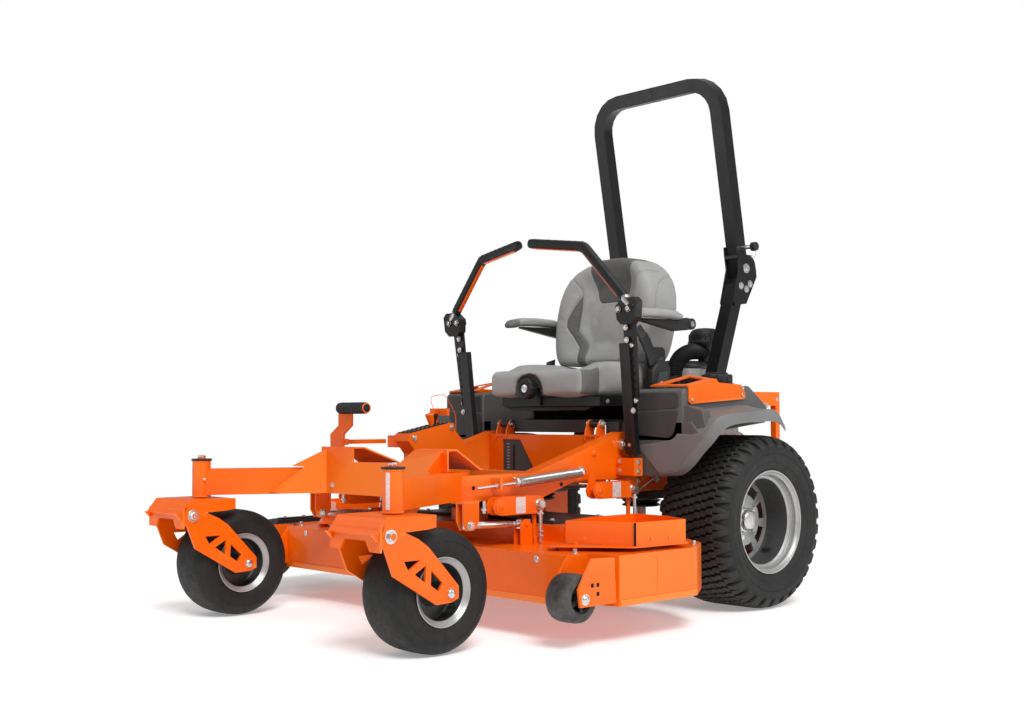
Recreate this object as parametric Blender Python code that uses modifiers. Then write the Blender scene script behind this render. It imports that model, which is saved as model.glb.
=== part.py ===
"""Zero turn mower: a folding roll bar, two lap-bar levers, swivelling front casters and a full-width belly deck.

Metres, +Z up, front towards -Y, operator's left towards +X. Each piece is built in machine coordinates, whose
origin is on the ground under the middle of the rear axle, and SHIFT then moves everything so that the middle
of the machine's footprint is at the origin. Left-hand pieces are mirrored into right-hand ones.
"""

import math

import bmesh
import bpy
from mathutils import Matrix, Vector

SHIFT = Vector((0.1225, 0.5148, 0.0))

# rear wheels and their track
REAR_X, REAR_Z, REAR_R, REAR_HALF = 0.550, 0.280, 0.280, 0.140
REAR_RIM_R = 0.1524
# front casters
PIVOT_X, PIVOT_Y = 0.483, -1.401
CASTER_Y, CASTER_Z, CASTER_R, CASTER_HALF = -1.291, 0.165, 0.165, 0.0825
CASTER_RIM_R = 0.0762
# frame rails
RAIL_IN, RAIL_OUT, RAIL_BOTTOM, RAIL_TOP = 0.280, 0.330, 0.375, 0.4505
ARM_DIR = Vector((-0.4416, 0.8972, 0.0))
# deck
DECK_TOP, DECK_BOTTOM, DECK_FRONT, DECK_SIDE = 0.243, 0.105, -0.955, 0.775
LINK_FRONT_Y, LINK_FRONT_Z, LINK_FRONT_L = -0.924, 0.360, 0.157
LINK_REAR_Y, LINK_REAR_Z, LINK_REAR_L = -0.501, 0.389, 0.159
STRUT_Y, STRUT_Z, STRUT_L = -1.037, 0.311, 0.222
SPINDLES = ((0.0, -0.705), (0.475, -0.585), (-0.475, -0.585))
BLADE_HALF = 0.236
# controls
HUB_Y, HUB_Z = -0.345, 0.530
# roll bar
ROPS_X, ROPS_PIVOT_Y, ROPS_PIVOT_Z = 0.2851, 0.366, 1.162
ROPS_PIN_Y, ROPS_PIN_Z = 0.349, 1.236


# ---------------------------------------------------------------- shapes, each one a mesh in machine coordinates


def finished(obj, matrix=Matrix()):
    """The object's evaluated mesh, moved by the matrix and welded. The object itself is removed."""
    bpy.context.collection.objects.link(obj)
    bpy.context.view_layer.update()
    graph = bpy.context.evaluated_depsgraph_get()
    mesh = bpy.data.meshes.new_from_object(obj.evaluated_get(graph))
    bpy.data.objects.remove(obj)
    mesh.transform(matrix)
    work = bmesh.new()
    work.from_mesh(mesh)
    bmesh.ops.remove_doubles(work, verts=work.verts, dist=1e-6)
    bmesh.ops.recalc_face_normals(work, faces=work.faces)
    work.to_mesh(mesh)
    work.free()
    return mesh


def from_bmesh(work):
    mesh = bpy.data.meshes.new("shape")
    bmesh.ops.recalc_face_normals(work, faces=work.faces)
    work.to_mesh(mesh)
    work.free()
    return mesh


def box(x0, x1, y0, y1, z0, z1):
    work = bmesh.new()
    middle = Vector(((x0 + x1) / 2, (y0 + y1) / 2, (z0 + z1) / 2))
    bmesh.ops.create_cube(
        work, size=1, matrix=Matrix.Translation(middle) @ Matrix.Diagonal((x1 - x0, y1 - y0, z1 - z0, 1))
    )
    return from_bmesh(work)


def along(axis):
    """The rotation that takes +Z to this direction."""
    return Vector((0, 0, 1)).rotation_difference(Vector(axis).normalized()).to_matrix().to_4x4()


def rod(start, end, radius, steps=10):
    start, end = Vector(start), Vector(end)
    work = bmesh.new()
    bmesh.ops.create_cone(
        work, cap_ends=True, segments=steps, radius1=radius, radius2=radius, depth=(end - start).length,
        matrix=Matrix.Translation((start + end) / 2) @ along(end - start),
    )
    return from_bmesh(work)


def turned(profile, origin, axis, steps, closed=True):
    """A profile of (along, radius) turned about an axis. An open one runs from the axis back to the axis."""
    mesh = bpy.data.meshes.new("profile")
    n = len(profile)
    mesh.from_pydata([(r, 0, a) for a, r in profile], [(i, (i + 1) % n) for i in range(n if closed else n - 1)], [])
    obj = bpy.data.objects.new("profile", mesh)
    screw = obj.modifiers.new("screw", "SCREW")
    screw.steps = screw.render_steps = steps
    screw.use_merge_vertices, screw.merge_threshold = True, 1e-6
    return finished(obj, Matrix.Translation(origin) @ along(axis))


def pipe(start, end, radius, inner, steps=20):
    length = (Vector(end) - Vector(start)).length
    profile = [(0, radius), (length, radius), (length, inner), (0, inner)]
    return turned(profile, start, Vector(end) - Vector(start), steps)


def flat(outline, half, matrix):
    """A flat outline as a filled 2D curve, thick by half on each side of its plane."""
    curve = bpy.data.curves.new("outline", "CURVE")
    curve.dimensions, curve.fill_mode, curve.extrude = "2D", "BOTH", half
    spline = curve.splines.new("POLY")
    spline.points.add(len(outline) - 1)
    for point, (a, b) in zip(spline.points, outline):
        point.co = (a, b, 0, 1)
    spline.use_cyclic_u = True
    return finished(bpy.data.objects.new("outline", curve), matrix)


TURNS = {
    "x": Matrix(((0, 0, 1, 0), (1, 0, 0, 0), (0, 1, 0, 0), (0, 0, 0, 1))),
    "y": Matrix(((1, 0, 0, 0), (0, 0, -1, 0), (0, 1, 0, 0), (0, 0, 0, 1))),
    "z": Matrix(),
}


def prism(outline, axis, low, high):
    """An outline in the two other axes, in x, y, z order, drawn out along one axis from low to high."""
    shift = Vector([(low + high) / 2 if name == axis else 0 for name in "xyz"])
    return flat(outline, (high - low) / 2, Matrix.Translation(shift) @ TURNS[axis])


def rounded_box(x0, x1, y0, y1, z0, z1, cut):
    """A box whose upright edges are cut off at 45 degrees."""
    outline = [(x0 + cut, y0), (x1 - cut, y0), (x1, y0 + cut), (x1, y1 - cut)]
    outline += [(x1 - cut, y1), (x0 + cut, y1), (x0, y1 - cut), (x0, y0 + cut)]
    return prism(outline, "z", z0, z1)


def slab(corners, thickness):
    """A flat plate from its corners in space, half its thickness each side of them."""
    mesh = bpy.data.meshes.new("plate")
    mesh.from_pydata(corners, [], [tuple(range(len(corners)))])
    obj = bpy.data.objects.new("plate", mesh)
    solidify = obj.modifiers.new("thick", "SOLIDIFY")
    solidify.thickness, solidify.offset = thickness, 0
    return finished(obj)


def tube(path, radius, resolution=2):
    """A bent bar as a curve with a round bevel."""
    curve = bpy.data.curves.new("tube", "CURVE")
    curve.dimensions, curve.bevel_depth, curve.bevel_resolution, curve.use_fill_caps = "3D", radius, resolution, True
    spline = curve.splines.new("POLY")
    spline.points.add(len(path) - 1)
    for point, place in zip(spline.points, path):
        point.co = (*place, 1)
    return finished(bpy.data.objects.new("tube", curve))


def eased(path, radius, steps=5):
    """The path with each inner corner replaced by an arc of about this radius."""
    path = [Vector(p) for p in path]
    out = [path[0]]
    for before, corner, after in zip(path, path[1:], path[2:]):
        a = corner + (before - corner).normalized() * radius
        b = corner + (after - corner).normalized() * radius
        for i in range(steps + 1):
            t = i / steps
            out.append(a * (1 - t) ** 2 + corner * 2 * t * (1 - t) + b * t**2)
    return out + [path[-1]]


def moved(mesh, matrix):
    mesh = mesh.copy()
    mesh.transform(matrix)
    if matrix.determinant() < 0:
        mesh.flip_normals()
    return mesh


def mirrored(mesh):
    return moved(mesh, Matrix.Scale(-1, 4, (1, 0, 0)))


# ---------------------------------------------------------------- pieces


def node(name, colour, shapes, cuts=(), pivot=(0, 0, 0), solver="EXACT", bevel=0.0):
    """One piece: the union of its shapes less its cuts, with its origin at its pivot and its own material."""
    obj = bpy.data.objects.new(name, shapes[0].copy())
    PIECES.objects.link(obj)
    for operation, group in (("UNION", shapes[1:]), ("DIFFERENCE", cuts)):
        for shape in group:
            tool = bpy.data.objects.new("tool", shape)
            bpy.context.collection.objects.link(tool)
            step = obj.modifiers.new("step", "BOOLEAN")
            step.operation, step.solver, step.object = operation, solver, tool
            bpy.context.view_layer.update()
            graph = bpy.context.evaluated_depsgraph_get()
            made = bpy.data.meshes.new_from_object(obj.evaluated_get(graph))
            obj.modifiers.clear()
            obj.data = made
            bpy.data.objects.remove(tool)
    if bevel:
        soften = obj.modifiers.new("soften", "BEVEL")
        soften.width, soften.segments, soften.limit_method = bevel, 2, "ANGLE"
        soften.angle_limit = math.radians(50)
    obj.data.transform(Matrix.Translation(-Vector(pivot)))
    obj.location = SHIFT + Vector(pivot)
    obj.data.shade_smooth()
    obj.data.set_sharp_from_angle(angle=math.radians(32))
    material = bpy.data.materials.new(name)
    material.use_nodes = True
    shader = next(n for n in material.node_tree.nodes if n.type == "BSDF_PRINCIPLED")
    shader.inputs["Base Color"].default_value = (*COLOURS[colour][0], 1)
    shader.inputs["Metallic"].default_value = COLOURS[colour][1]
    shader.inputs["Roughness"].default_value = COLOURS[colour][2]
    obj.data.materials.clear()
    obj.data.materials.append(material)
    return obj


def pair(name, colour, shapes, cuts=(), pivot=(0, 0, 0), **options):
    """The same piece on the operator's left, as given, and mirrored on the right."""
    node(name + "_left", colour, shapes, cuts, pivot, **options)
    other = (-pivot[0], pivot[1], pivot[2])
    node(name + "_right", colour, [mirrored(s) for s in shapes], [mirrored(c) for c in cuts], other, **options)


def both(*shapes):
    """The shapes and their mirror images, for one piece that spans the machine."""
    return [s for shape in shapes for s in (shape, mirrored(shape))]


COLOURS = {
    "orange": ((0.86, 0.16, 0.01), 0.0, 0.35),
    "black": ((0.02, 0.02, 0.022), 0.0, 0.45),
    "plastic": ((0.09, 0.09, 0.092), 0.0, 0.6),
    "rubber": ((0.03, 0.03, 0.032), 0.0, 0.8),
    "steel": ((0.6, 0.6, 0.61), 0.9, 0.3),
    "rim": ((0.5, 0.5, 0.51), 0.6, 0.4),
    "seat": ((0.33, 0.33, 0.33), 0.0, 0.7),
}


def build_frame():
    rail = prism(
        [
            (-1.03, RAIL_BOTTOM), (-0.70, RAIL_BOTTOM), (-0.56, 0.420), (-0.30, 0.420),
            (-0.26, RAIL_BOTTOM), (0.470, RAIL_BOTTOM), (0.470, RAIL_TOP), (-0.24, RAIL_TOP),
            (-0.27, 0.571), (-0.335, 0.571), (-0.74, RAIL_TOP), (-1.03, RAIL_TOP),
        ],
        "x", RAIL_IN, RAIL_OUT,
    )
    pivot = Vector((PIVOT_X, PIVOT_Y, 0))
    across = Vector((0.8972, 0.4416, 0)) * 0.0254
    near, far = pivot + ARM_DIR * 0.012, pivot + ARM_DIR * 0.440
    arm = prism(
        [tuple(p)[:2] for p in (near - across, near + across, far + across, far - across)],
        "z", 0.379, 0.4605,
    )
    tube = rod((PIVOT_X, PIVOT_Y, 0.373), (PIVOT_X, PIVOT_Y, 0.486), 0.0285, 16)
    bore = rod((PIVOT_X, PIVOT_Y, 0.36), (PIVOT_X, PIVOT_Y, 0.50), 0.0137, 12)
    guide_tab = box(0.322, 0.378, -1.065, -1.005, 0.3735, 0.3815)
    guide = [(-1.065, 0.378), (-1.065, 0.322), (-1.051, 0.297), (-1.023, 0.297), (-1.005, 0.322), (-1.005, 0.378)]
    guide_in, guide_out = prism(guide, "x", 0.345, 0.3505), prism(guide, "x", 0.3715, 0.377)
    guide_pin = rod((0.347, STRUT_Y, STRUT_Z), (0.381, STRUT_Y, STRUT_Z), 0.006, 8)
    motor = rod((0.320, 0, REAR_Z), (0.425, 0, REAR_Z), 0.075, 16)
    motor_leg = box(0.300, 0.329, -0.06, 0.06, 0.22, 0.385)
    axle = rod((0.42, 0, REAR_Z), (0.5905, 0, REAR_Z), 0.0290, 16)
    lever_box = box(0.325, 0.408, -0.366, -0.326, 0.432, 0.488)
    guard_side = prism(
        [(0.30, 0.44), (0.47, 0.44), (0.49, 0.50), (0.49, 0.66), (0.17, 0.66), (0.17, 0.71), (0.515, 0.71),
         (0.515, 0.48), (0.48, 0.38), (0.30, 0.38)],
        "x", 0.329, 0.352,
    )
    engine_plate = box(-0.285, 0.285, 0.16, 0.465, 0.436, 0.446)
    crossings = [
        box(-0.285, 0.285, -0.53, -0.48, 0.4205, 0.440),
        box(-0.285, 0.285, 0.10, 0.165, 0.385, 0.442),
        box(-0.345, 0.345, 0.485, 0.5155, 0.47, 0.52),
        box(-0.345, 0.345, 0.485, 0.5155, 0.66, 0.71),
        box(-0.285, 0.285, 0.455, 0.4695, 0.39, 0.446),
    ]
    spring_tab = box(0.325, 0.372, -0.916, -0.908, 0.410, 0.442)
    parts = both(
        arm, tube, guide_tab, guide_in, guide_out, guide_pin, motor, motor_leg, axle, lever_box,
        guard_side, spring_tab,
    )
    node(
        "main_frame", "orange",
        [rail] + crossings[:1] + [mirrored(rail)] + parts + crossings[1:] + [engine_plate],
        both(bore, rod((0.360, -0.93, 0.426), (0.360, -0.89, 0.426), 0.0045, 10)),
    )
    pair(
        "counter_spring", "steel",
        [
            rod((0.360, -0.838, 0.426), (0.360, -0.565, 0.447), 0.0145, 10),
            rod((0.360, -0.997, 0.426), (0.360, -0.830, 0.426), 0.0040, 8),
            rod((0.360, -0.570, 0.447), (0.360, -0.530, 0.450), 0.0035, 8),
        ],
    )


def build_front():
    y, low, high = -1.065, 0.3795, 0.527
    front = prism(
        [
            (-0.285, low), (0.285, low), (0.285, 0.4635), (0.310, 0.4635), (0.310, high), (0.165, high),
            (0.093, 0.484), (-0.143, 0.481), (-0.143, high), (-0.310, high), (-0.310, 0.4635), (-0.285, 0.4635),
        ],
        "y", y - 0.003, y + 0.003,
    )
    shapes = [front]
    for side in (1, -1):
        start = Vector((side * 0.2835, y, 0))
        along = Vector((side * 0.4416, -0.8972, 0))
        wing = [(-0.004, low), (-0.004, high - 0.004), (0.112, 0.467), (0.072, 0.464), (0.182, 0.386), (0.140, low)]
        shapes.append(slab([tuple(start + along * s + Vector((0, 0, z))) for s, z in wing], 0.005))
    tops = ((0.165, 0.306), (-0.268, -0.143))
    for x0, x1 in tops:
        shapes.append(box(x0, x1, y - 0.002, -1.024, high - 0.005, high))
    shapes.append(
        slab([(0.306, -1.027, 0.5245), (0.133, -1.027, 0.5245), (0.049, -0.970, 0.4843), (0.049, -0.935, 0.4665),
              (0.306, -0.935, 0.4665)], 0.005)
    )
    shapes.append(
        slab([(-0.268, -1.027, 0.5245), (-0.133, -1.027, 0.5245), (-0.049, -0.970, 0.4843), (-0.049, -0.935, 0.4665),
              (-0.268, -0.935, 0.4665)], 0.005)
    )
    shapes.append(slab([(-0.268, -0.938, 0.468), (0.306, -0.938, 0.468), (0.306, -0.925, 0.465), (-0.268, -0.925, 0.465)], 0.004))
    shapes.append(box(-0.258, 0.258, y - 0.001, -1.010, low, low + 0.005))
    node("front_cross_member", "orange", shapes, solver="MANIFOLD")

    node("floor_pan", "plastic", [box(-0.2785, 0.2785, -0.995, -0.372, 0.3925, 0.3985)])

    panel = prism(
        [(-0.2785, 0.400), (0.2785, 0.400), (0.2785, 0.560), (-0.2785, 0.560)], "y", -0.363, -0.357
    )
    ear = [(-0.368, 0.545), (-0.322, 0.545), (-0.322, 0.598), (-0.330, 0.611), (-0.342, 0.611), (-0.352, 0.598), (-0.362, 0.575)]
    ears = both(prism(ear, "x", 0.188, 0.194), prism(ear, "x", 0.238, 0.244))
    hinge_pins = both(rod((0.186, -0.338, 0.597), (0.250, -0.338, 0.597), 0.005, 8))
    feet = both(box(0.186, 0.246, -0.366, -0.320, 0.553, 0.561))
    window = prism([(-0.210, 0.430), (-0.058, 0.430), (-0.058, 0.451), (-0.121, 0.543), (-0.210, 0.543)], "y", -0.37, -0.3598)
    flange = box(-0.2785, 0.2785, -0.360, -0.320, 0.5545, 0.560)
    node("seat_front_panel", "orange", [panel, flange] + feet + ears + hinge_pins, [window])


def build_console():
    side = [
        (-0.826, 0.542), (-0.826, 0.566), (-0.645, 0.602), (-0.630, 0.600), (-0.625, 0.575), (-0.588, 0.542),
        (-0.560, 0.500), (-0.560, 0.3995), (-0.780, 0.3995), (-0.790, 0.500),
    ]
    bracket = box(-0.310, -0.225, -0.800, -0.765, 0.520, 0.560)
    knob = turned([(0, 0), (0, 0.009), (0.042, 0.018), (0.046, 0.016), (0.046, 0)], (-0.200, -0.695, 0.588), (-0.05, -0.2, 1), 16, False)
    node(
        "height_console", "orange",
        [prism(side, "x", -0.236, -0.165), bracket, knob],
        [rod((-0.222, -0.658, 0.540), (-0.222, -0.658, 0.640), 0.0058, 16)],
    )
    lanyard = eased(
        [(-0.222, -0.668, 0.640), (-0.222, -0.690, 0.690), (-0.222, -0.620, 0.700), (-0.222, -0.572, 0.630),
         (-0.222, -0.572, 0.523)], 0.022, 4
    )
    node(
        "height_pin", "orange",
        [
            rod((-0.222, -0.658, 0.560), (-0.222, -0.658, 0.636), 0.005, 16),
            rounded_box(-0.232, -0.158, -0.664, -0.652, 0.626, 0.650, 0.004),
            box(-0.232, -0.212, -0.680, -0.654, 0.628, 0.650),
            tube(lanyard, 0.0013, 0),
        ],
    )
    pedal_y = -1.000
    bar = [
        (-0.350, 0.4700), (-0.285, 0.4700), (-0.281, 0.566), (-0.237, 0.594), (-0.237, 0.652), (-0.247, 0.664),
        (-0.297, 0.664), (-0.308, 0.652), (-0.308, 0.594), (-0.353, 0.566),
    ]
    node(
        "lift_pedal", "orange",
        [
            prism(bar, "y", pedal_y - 0.004, pedal_y + 0.004),
            rod((-0.352, pedal_y, 0.476), (-0.283, pedal_y, 0.476), 0.009, 12),
            rod((-0.284, pedal_y - 0.016, 0.650), (-0.140, pedal_y - 0.016, 0.650), 0.0165, 16),
        ],
        pivot=(-0.3175, pedal_y, 0.476),
    )
    node("pedal_link", "orange", [box(-0.304, -0.288, -0.9900, -0.822, 0.534, 0.548), box(-0.309, -0.283, -0.9935, -0.979, 0.531, 0.551)])


def build_caster(side):
    """A fork with its stem, and the wheel it carries."""
    suffix = "left" if side > 0 else "right"
    x = side * PIVOT_X
    place = lambda mesh: moved(mesh, Matrix.Translation((x, 0, 0)))
    half, top = 0.102, 0.370
    skirt = [
        (-1.500, top), (-1.340, top), (-1.340, 0.338), (-1.368, 0.334), (-1.440, 0.331), (-1.456, 0.308),
        (-1.499, 0.308), (-1.516, 0.328),
    ]
    arm = [
        (-1.545, 0.330), (-1.440, 0.330), (-1.398, 0.312), (-1.364, 0.289), (-1.262, 0.182), (-1.262, 0.150),
        (-1.286, 0.141), (-1.337, 0.139), (-1.478, 0.223), (-1.505, 0.290),
    ]
    front = [(-0.104, 0.345), (0.104, 0.345), (0.104, 0.285), (0.062, 0.285), (0.045, 0.312), (-0.045, 0.312), (-0.062, 0.285), (-0.104, 0.285)]
    windows = [
        [(-1.444, 0.258), (-1.430, 0.233), (-1.390, 0.258)],
        [(-1.410, 0.223), (-1.375, 0.199), (-1.371, 0.244)],
        [(-1.355, 0.230), (-1.357, 0.191), (-1.331, 0.173), (-1.317, 0.194)],
    ]
    shapes = [box(-half, half, -1.500, -1.340, top - 0.007, top)]
    shapes.append(slab([(-half, -1.500, top - 0.003), (half, -1.500, top - 0.003), (half, -1.530, 0.328), (-half, -1.530, 0.328)], 0.006))
    for s in (1, -1):
        a, b = sorted((s * (half - 0.006), s * half))
        shapes.append(prism(skirt, "x", a, b))
        a, b = sorted((s * (half - 0.0095), s * (half - 0.002)))
        shapes.append(prism(arm, "x", a, b))
    shapes.append(prism(front, "y", -1.524, -1.517))
    shapes.append(box(-0.096, 0.096, -1.524, -1.440, 0.326, 0.334))
    shapes.append(rod((-0.112, -1.487, 0.323), (0.112, -1.487, 0.323), 0.009, 12))
    shapes.append(rod((0, PIVOT_Y, 0.365), (0, PIVOT_Y, 0.498), 0.0127, 12))
    shapes.append(rod((0, PIVOT_Y, 0.4865), (0, PIVOT_Y, 0.4925), 0.031, 12))
    shapes.append(rod((0, PIVOT_Y, 0.4865), (0, PIVOT_Y, 0.503), 0.0085, 6))
    shapes.append(rod((-0.110, CASTER_Y, CASTER_Z), (0.110, CASTER_Y, CASTER_Z), 0.0092, 12))
    cuts = [prism(w, "x", -0.12, 0.12) for w in windows]
    node("caster_fork_" + suffix, "orange", [place(s) for s in shapes], [place(c) for c in cuts], (x, PIVOT_Y, 0.373), "MANIFOLD")

    r, h = CASTER_R, CASTER_HALF
    tyre = [
        (-0.0580, 0.0784), (-0.0673, 0.0884), (-0.0673, 0.0930), (-0.0815, 0.118), (-0.076, 0.151), (-0.045, r),
        (0.045, r), (0.076, 0.151), (0.0815, 0.118), (0.0673, 0.0930), (0.0673, 0.0884), (0.0580, 0.0784),
    ]
    node("caster_tyre_" + suffix, "rubber", [turned(tyre, (x, CASTER_Y, CASTER_Z), (1, 0, 0), 16)], pivot=(x, CASTER_Y, CASTER_Z))
    rim = [
        (-0.068, 0.0880), (-0.068, 0.0920), (-0.0745, 0.0900), (-0.066, 0.0740), (-0.020, 0.0560), (-0.020, 0.0300),
        (-0.083, 0.0280), (-0.083, 0.0100), (0.083, 0.0100), (0.083, 0.0280), (0.020, 0.0300), (0.020, 0.0560),
        (0.066, 0.0740), (0.0745, 0.0900), (0.068, 0.0920), (0.068, 0.0880), (0.059, 0.0780), (-0.059, 0.0780),
    ]
    node("caster_rim_" + suffix, "rim", [turned(rim, (x, CASTER_Y, CASTER_Z), (1, 0, 0), 16)], pivot=(x, CASTER_Y, CASTER_Z))


def build_rear_wheels():
    centre = (REAR_X, 0, REAR_Z)
    tyre = [
        (-0.1042, 0.1540), (-0.1112, 0.1622), (-0.1112, 0.1672), (-0.1395, 0.215), (-0.134, 0.258), (-0.108, 0.280),
        (0.108, 0.280), (0.134, 0.258), (0.1395, 0.215), (0.1112, 0.1672), (0.1112, 0.1622), (0.1042, 0.1540),
    ]
    pair("rear_tyre", "rubber", [turned(tyre, centre, (1, 0, 0), 20)], pivot=centre)
    rim = [
        (-0.112, 0.1620), (-0.112, 0.1666), (-0.121, 0.164), (-0.114, 0.150), (-0.080, 0.140), (-0.005, 0.137),
        (-0.005, 0.0700), (0.006, 0.0560), (0.006, 0.0305), (0.013, 0.0305), (0.013, 0.0600), (0.002, 0.0740),
        (0.002, 0.138), (0.080, 0.140), (0.114, 0.150), (0.121, 0.164), (0.112, 0.1666), (0.112, 0.1620),
        (0.105, 0.1535), (-0.105, 0.1535),
    ]
    slots = []
    for i in range(8):
        turn = 2 * math.pi * (i + 0.5) / 8
        spread = ((0.085, -0.14), (0.085, 0.14), (0.124, 0.22), (0.124, -0.22))
        outline = [(r * math.cos(turn + t), REAR_Z + r * math.sin(turn + t)) for r, t in spread]
        slots.append(prism(outline, "x", REAR_X - 0.03, REAR_X + 0.03))
    cap = pipe((REAR_X + 0.010, 0, REAR_Z), (REAR_X + 0.026, 0, REAR_Z), 0.040, 0.0305, 20)
    pair("rear_rim", "rim", [turned(rim, centre, (1, 0, 0), 20), cap], slots, centre, solver="MANIFOLD")


def build_controls():
    y, z = HUB_Y, HUB_Z
    hub = [
        rod((0.3306, y, z), (0.350, y, z), 0.018, 20),
        box(0.338, 0.350, y - 0.006, -0.3250, z - 0.012, z + 0.012),
        box(0.338, 0.396, -0.3305, -0.3245, z - 0.014, z + 0.014),
        rod((0.385, -0.328, z), (0.385, -0.3640, z), 0.0060, 16),
    ]
    pair("control_hub", "steel", hub, pivot=(0.340, y, z))

    post = slab(
        [(0.364, -0.345, 0.5000), (0.406, -0.345, 0.5000), (0.411, -0.3815, 0.857), (0.369, -0.3815, 0.857)], 0.022
    )
    strap = slab([(0.385, -0.363, 0.680), (0.426, -0.363, 0.680), (0.440, -0.392, 0.945), (0.388, -0.392, 0.945)], 0.008)
    head = slab(
        [(0.381, -0.401, 0.931), (0.397, -0.400, 0.915), (0.440, -0.400, 0.915), (0.461, -0.402, 0.935), (0.467, -0.404, 0.985),
         (0.452, -0.405, 1.000), (0.408, -0.405, 1.000), (0.377, -0.403, 0.975)], 0.030
    )
    grip = eased([(0.446, -0.404, 0.960), (0.247, -0.424, 1.178), (0.027, -0.456, 1.206)], 0.045, 3)
    bolts = [rod((bx, -0.425, 0.9625), (bx, -0.380, 0.9625), 0.009, 12) for bx in (0.392, 0.4335)]
    bore = rod((0.385, -0.300, z), (0.385, -0.390, z), 0.0066, 16)
    pair("lap_lever", "black", [post, strap, head, tube(grip, 0.0145, 1)] + bolts, [bore], (0.385, y, z))


def build_body():
    pod = prism(
        [(-0.3185, 0.430), (-0.3185, 0.704), (-0.290, 0.7085), (0.034, 0.722), (0.100, 0.674), (0.160, 0.640), (0.160, 0.598),
         (-0.180, 0.598), (-0.262, 0.520), (-0.278, 0.430)],
        "x", 0.362, 0.570,
    )
    front = prism(
        [(0.362, 0.429), (0.479, 0.428), (0.541, 0.442), (0.580, 0.473), (0.641, 0.569), (0.697, 0.597), (0.697, 0.640),
         (0.570, 0.652), (0.568, 0.711), (0.362, 0.705)],
        "y", -0.320, -0.293,
    )
    flare = prism(
        [(-0.3195, 0.560), (-0.3195, 0.645), (0.030, 0.655), (0.100, 0.622), (0.150, 0.563), (0.130, 0.555), (0.085, 0.600),
         (0.020, 0.618), (-0.270, 0.606), (-0.295, 0.560)],
        "x", 0.560, 0.697,
    )
    bay = prism([(0.470, -0.175), (0.550, -0.270), (0.550, -0.175)], "z", 0.690, 0.80)
    pair("fender", "plastic", [pod, front, flare], [bay])
    plate = [(-0.287, 0.660), (-0.296, 0.668), (-0.296, 0.7180), (-0.158, 0.7420), (-0.146, 0.730), (-0.027, 0.725), (-0.012, 0.716),
             (-0.001, 0.688), (-0.010, 0.678)]
    frame = slab([(0.5765, -0.294, 0.7165), (0.5765, -0.163, 0.7390), (0.455, -0.143, 0.7560), (0.416, -0.294, 0.7190)], 0.005)
    opening = prism([(0.448, -0.278), (0.548, -0.278), (0.548, -0.180), (0.472, -0.167)], "z", 0.60, 0.90)
    pair("fender_plate", "orange", [prism(plate, "x", 0.5712, 0.577), frame], [opening])
    lobes = []
    for i in range(16):
        turn = 2 * math.pi * i / 16
        r = 0.052 if i % 4 < 2 else 0.048
        lobes.append((0.500 + r * math.cos(turn), -0.055 + r * math.sin(turn)))
    pair("fuel_cap", "black", [prism(lobes, "z", 0.7305, 0.758), rod((0.500, -0.055, 0.750), (0.500, -0.055, 0.766), 0.034, 20)], pivot=(0.500, -0.055, 0.7305))

    node(
        "engine", "black",
        [
            rounded_box(-0.215, 0.215, 0.215, 0.470, 0.4465, 0.600, 0.03),
            rod((0, 0.335, 0.58), (0, 0.335, 0.800), 0.135, 20),
            box(-0.235, 0.235, 0.250, 0.420, 0.500, 0.700),
            rod((0, 0.335, 0.79), (0, 0.335, 0.825), 0.105, 20),
        ],
    )
    node(
        "air_cleaner", "black",
        [
            rod((0.114, 0.380, 0.8255), (0.114, 0.380, 0.905), 0.026, 20),
            turned([(0, 0), (0, 0.060), (0.008, 0.066), (0.020, 0.062), (0.045, 0.058), (0.062, 0.045), (0.064, 0)], (0.114, 0.380, 0.890), (0, 0, 1), 20, False),
            rod((0.114, 0.380, 0.858), (0.114, 0.300, 0.858), 0.028, 16),
        ],
    )


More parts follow.
